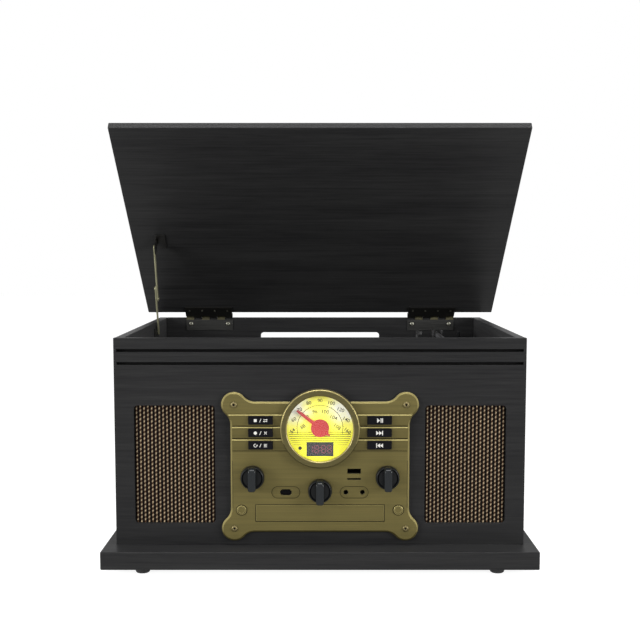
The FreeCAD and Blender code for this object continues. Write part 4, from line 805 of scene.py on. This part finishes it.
# Rings round the round buttons are painted shade along their gaps
for name in ("standby_button", "eject_button"):
    centre = middle(name)
    reach = 2 * plateLines["ringRadius"]
    outline = pill(centre.x, centre.z, reach, reach)
    addStrip(plateLineMesh, outline, plateLines["ringWidth"], plateLines["face"])
# The drawer outline is painted shade along its gap
x, z, width, height = plateLines["drawer"]
corners = [(-1, -1), (1, -1), (1, 1), (-1, 1), (-1, -1)]
for (x1, z1), (x2, z2) in zip(corners, corners[1:]):
    ends = [(x + x1 * width / 2, z + z1 * height / 2), (x + x2 * width / 2, z + z2 * height / 2)]
    addStrip(plateLineMesh, ends, plateLines["width"], plateLines["face"])
# Lines in the creases under the bands are painted shade
for z, width in plateLines["creaseShade"]:
    inner = math.sqrt(plateLines["bezelRadius"] ** 2 - (z - dialZ) ** 2)
    for side in (-1, 1):
        ends = [(side * inner, z), (side * plateLines["creaseReach"], z)]
        addStrip(plateLineMesh, ends, width, plateLines["face"])
# Lines down both sides are painted shade inside the edge chamfer
reach, lowZ, highZ = plateLines["sides"]
for side in (-1, 1):
    ends = [(side * reach, lowZ), (side * reach, highZ)]
    addStrip(plateLineMesh, ends, plateLines["width"], plateLines["face"])
addPiece("plateEngravingAndShade", plateLineMesh, engravingAndShade, "cabinet")

# A fine raised ring on the face of each round button
buttonRing = {"radius": 3.3, "width": 0.7, "rise": 0.25}
for label in ("standby", "eject"):
    centre = middle(f"{label}_button")
    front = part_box(f"{label}_button")[0].y / mm
    half = buttonRing["width"] / 2
    section = [
        (buttonRing["radius"] - half, -0.1),
        (buttonRing["radius"] - half / 2, buttonRing["rise"]),
        (buttonRing["radius"] + half / 2, buttonRing["rise"]),
        (buttonRing["radius"] + half, -0.1),
    ]
    ringMesh = bmesh.new()
    turnProfile(ringMesh, section, (centre.x, front, centre.z), 48)
    addPiece(f"{label}Ring", ringMesh, bezelBrass, f"{label}_button")

# Grille cloth: twisted columns with raised, leaning beads, staggered from one column to the next
cloth = {
    "centre": (151.0, 111.0),
    "width": 83.6,
    "height": 123.6,
    "back": -145.0,
    "column": 3.95,
    "bead": 4.5,
    "lean": 0.4,
    "lift": 0.75,
    "ground": 0.9,
    "grid": (172, 240),
    "beadColour": "#b7a486",
    "columnColour": "#3a2216",
    "threadColour": "#3c3732",
    "groundColour": "#010101",
}


def weaveAt(x, z):
    # Strength of column, bead and cross thread at a place on the cloth, in millimetres from its middle
    column = x / cloth["column"]
    number = math.floor(column + 0.5)
    across = column - number
    ridge = max(0.0, math.cos(across * math.pi * 1.4)) ** 1.6
    phase = z / cloth["bead"] + (0.5 if number % 2 else 0.0) - cloth["lean"] * across
    along = phase - math.floor(phase + 0.5)
    bead = max(0.0, math.cos(along * math.pi)) ** 3.0
    bead *= max(0.0, math.cos(across * math.pi * 1.75)) ** 1.9
    thread = max(0.0, 1.0 - abs(along) / 0.10) * 0.35
    return ridge, bead, thread


beadColour, columnColour, threadColour, groundColour = (
    Vector(toLinear(cloth[f"{part}Colour"])[:3]) for part in ("bead", "column", "thread", "ground")
)
columns, rows = cloth["grid"]
for label, side in (("left", -1), ("right", 1)):
    centreX, centreZ = side * cloth["centre"][0], cloth["centre"][1]
    clothMesh = bmesh.new()
    colourLayer = clothMesh.verts.layers.float_color.new("weave")
    grid = []
    for row in range(rows + 1):
        line = []
        z = cloth["height"] * (row / rows - 0.5)
        for column in range(columns + 1):
            x = cloth["width"] * (column / columns - 0.5)
            ridge, bead, thread = weaveAt(x, z)
            height = cloth["ground"] + cloth["lift"] * (0.55 * ridge + 0.45 * bead)
            vert = clothMesh.verts.new(Vector((centreX + x, cloth["back"] - height, centreZ + z)) * mm)
            shade = groundColour.lerp(threadColour, min(thread, 1.0))
            shade = shade.lerp(columnColour, min(ridge ** 1.5, 1.0)).lerp(beadColour, bead)
            vert[colourLayer] = (*shade, 1.0)
            line.append(vert)
        grid.append(line)
    for lower, upper in zip(grid, grid[1:]):
        for column in range(columns):
            corners = (lower[column], lower[column + 1], upper[column + 1], upper[column])
            clothMesh.faces.new(corners)
    piece = addPiece(f"{label}GrilleCloth", clothMesh, grilleWeave, "cabinet")
    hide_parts("grille_cloths")
print("grille cloths made")

# Camera as the photograph was taken: a little above the rim, looking down by a few degrees
view = {"lens": 60.4, "sensor": 36.0, "shift": 0.0359, "place": (0.0, -1.2498, 0.3372), "down": 5.15}
cameraData = bpy.data.cameras.new("camera")
cameraData.lens = view["lens"]
cameraData.sensor_width = view["sensor"]
cameraData.shift_y = view["shift"]
camera = bpy.data.objects.new("camera", cameraData)
camera.location = view["place"]
camera.rotation_euler = (math.radians(90 - view["down"]), 0.0, 0.0)
bpy.context.scene.collection.objects.link(camera)
bpy.context.scene.camera = camera

# Pale sweep: its own glow makes it white to the eye, and the part's shadow still falls on it
floorMaterial, floorTree, floorShader, _ = newMaterial("paleFloor")
setShader(
    floorTree, floorShader,
    Base_Color=(0.25, 0.25, 0.25, 1.0),
    Roughness=0.8,
    Emission_Color=(1.0, 1.0, 1.0, 1.0),
    Emission_Strength=maths(floorTree, "MULTIPLY", seenRays(floorTree), 0.92),
)
floorMesh = bmesh.new()
bmesh.ops.create_grid(floorMesh, x_segments=1, y_segments=1, size=6.0)
floorData = bpy.data.meshes.new("floor")
floorMesh.to_mesh(floorData)
floorMesh.free()
floorData.materials.append(floorMaterial)
floor = bpy.data.objects.new("floor", floorData)
bpy.context.scene.collection.objects.link(floor)
floor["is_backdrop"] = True

# Soft studio light: an even surround, a box above, a thin strip high in front and a box on each side.
# Each has its place, aim and size in metres, its power in watts and its spread in degrees.
world = bpy.data.worlds.new("studio")
bpy.context.scene.world = world
world.use_nodes = True
worldTree = world.node_tree
background = worldTree.nodes["Background"]
background.inputs["Color"].default_value = (1.0, 1.0, 1.0, 1.0)
strength = maths(worldTree, "MULTIPLY_ADD", seenRays(worldTree), 0.9, 0.1)
worldTree.links.new(strength, background.inputs["Strength"])
lights = {
    "overheadBox": ((0.0, -0.45, 1.6), (0.0, -0.1, 0.2), (1.6, 0.35), 9.5, 100),
    "highFrontStrip": ((0.0, -1.4, 1.4), (0.0, -0.1, 0.15), (1.6, 0.12), 0.55, 60),
    "leftBox": ((-1.7, -1.1, 0.6), (0.0, 0.0, 0.3), (0.8, 0.8), 12.0, 90),
    "rightBox": ((1.7, -1.1, 0.6), (0.0, 0.0, 0.3), (0.8, 0.8), 12.0, 90),
}
for name, (place, aim, size, power, cone) in lights.items():
    data = bpy.data.lights.new(name, "AREA")
    data.shape = "RECTANGLE"
    data.size, data.size_y = size
    data.energy = power
    data.spread = math.radians(cone)
    light = bpy.data.objects.new(name, data)
    light.location = place
    light.rotation_euler = (Vector(aim) - Vector(place)).to_track_quat("-Z", "Y").to_euler()
    bpy.context.scene.collection.objects.link(light)

bpy.context.scene.view_settings.view_transform = "Standard"
low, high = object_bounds()
print("scene ready")
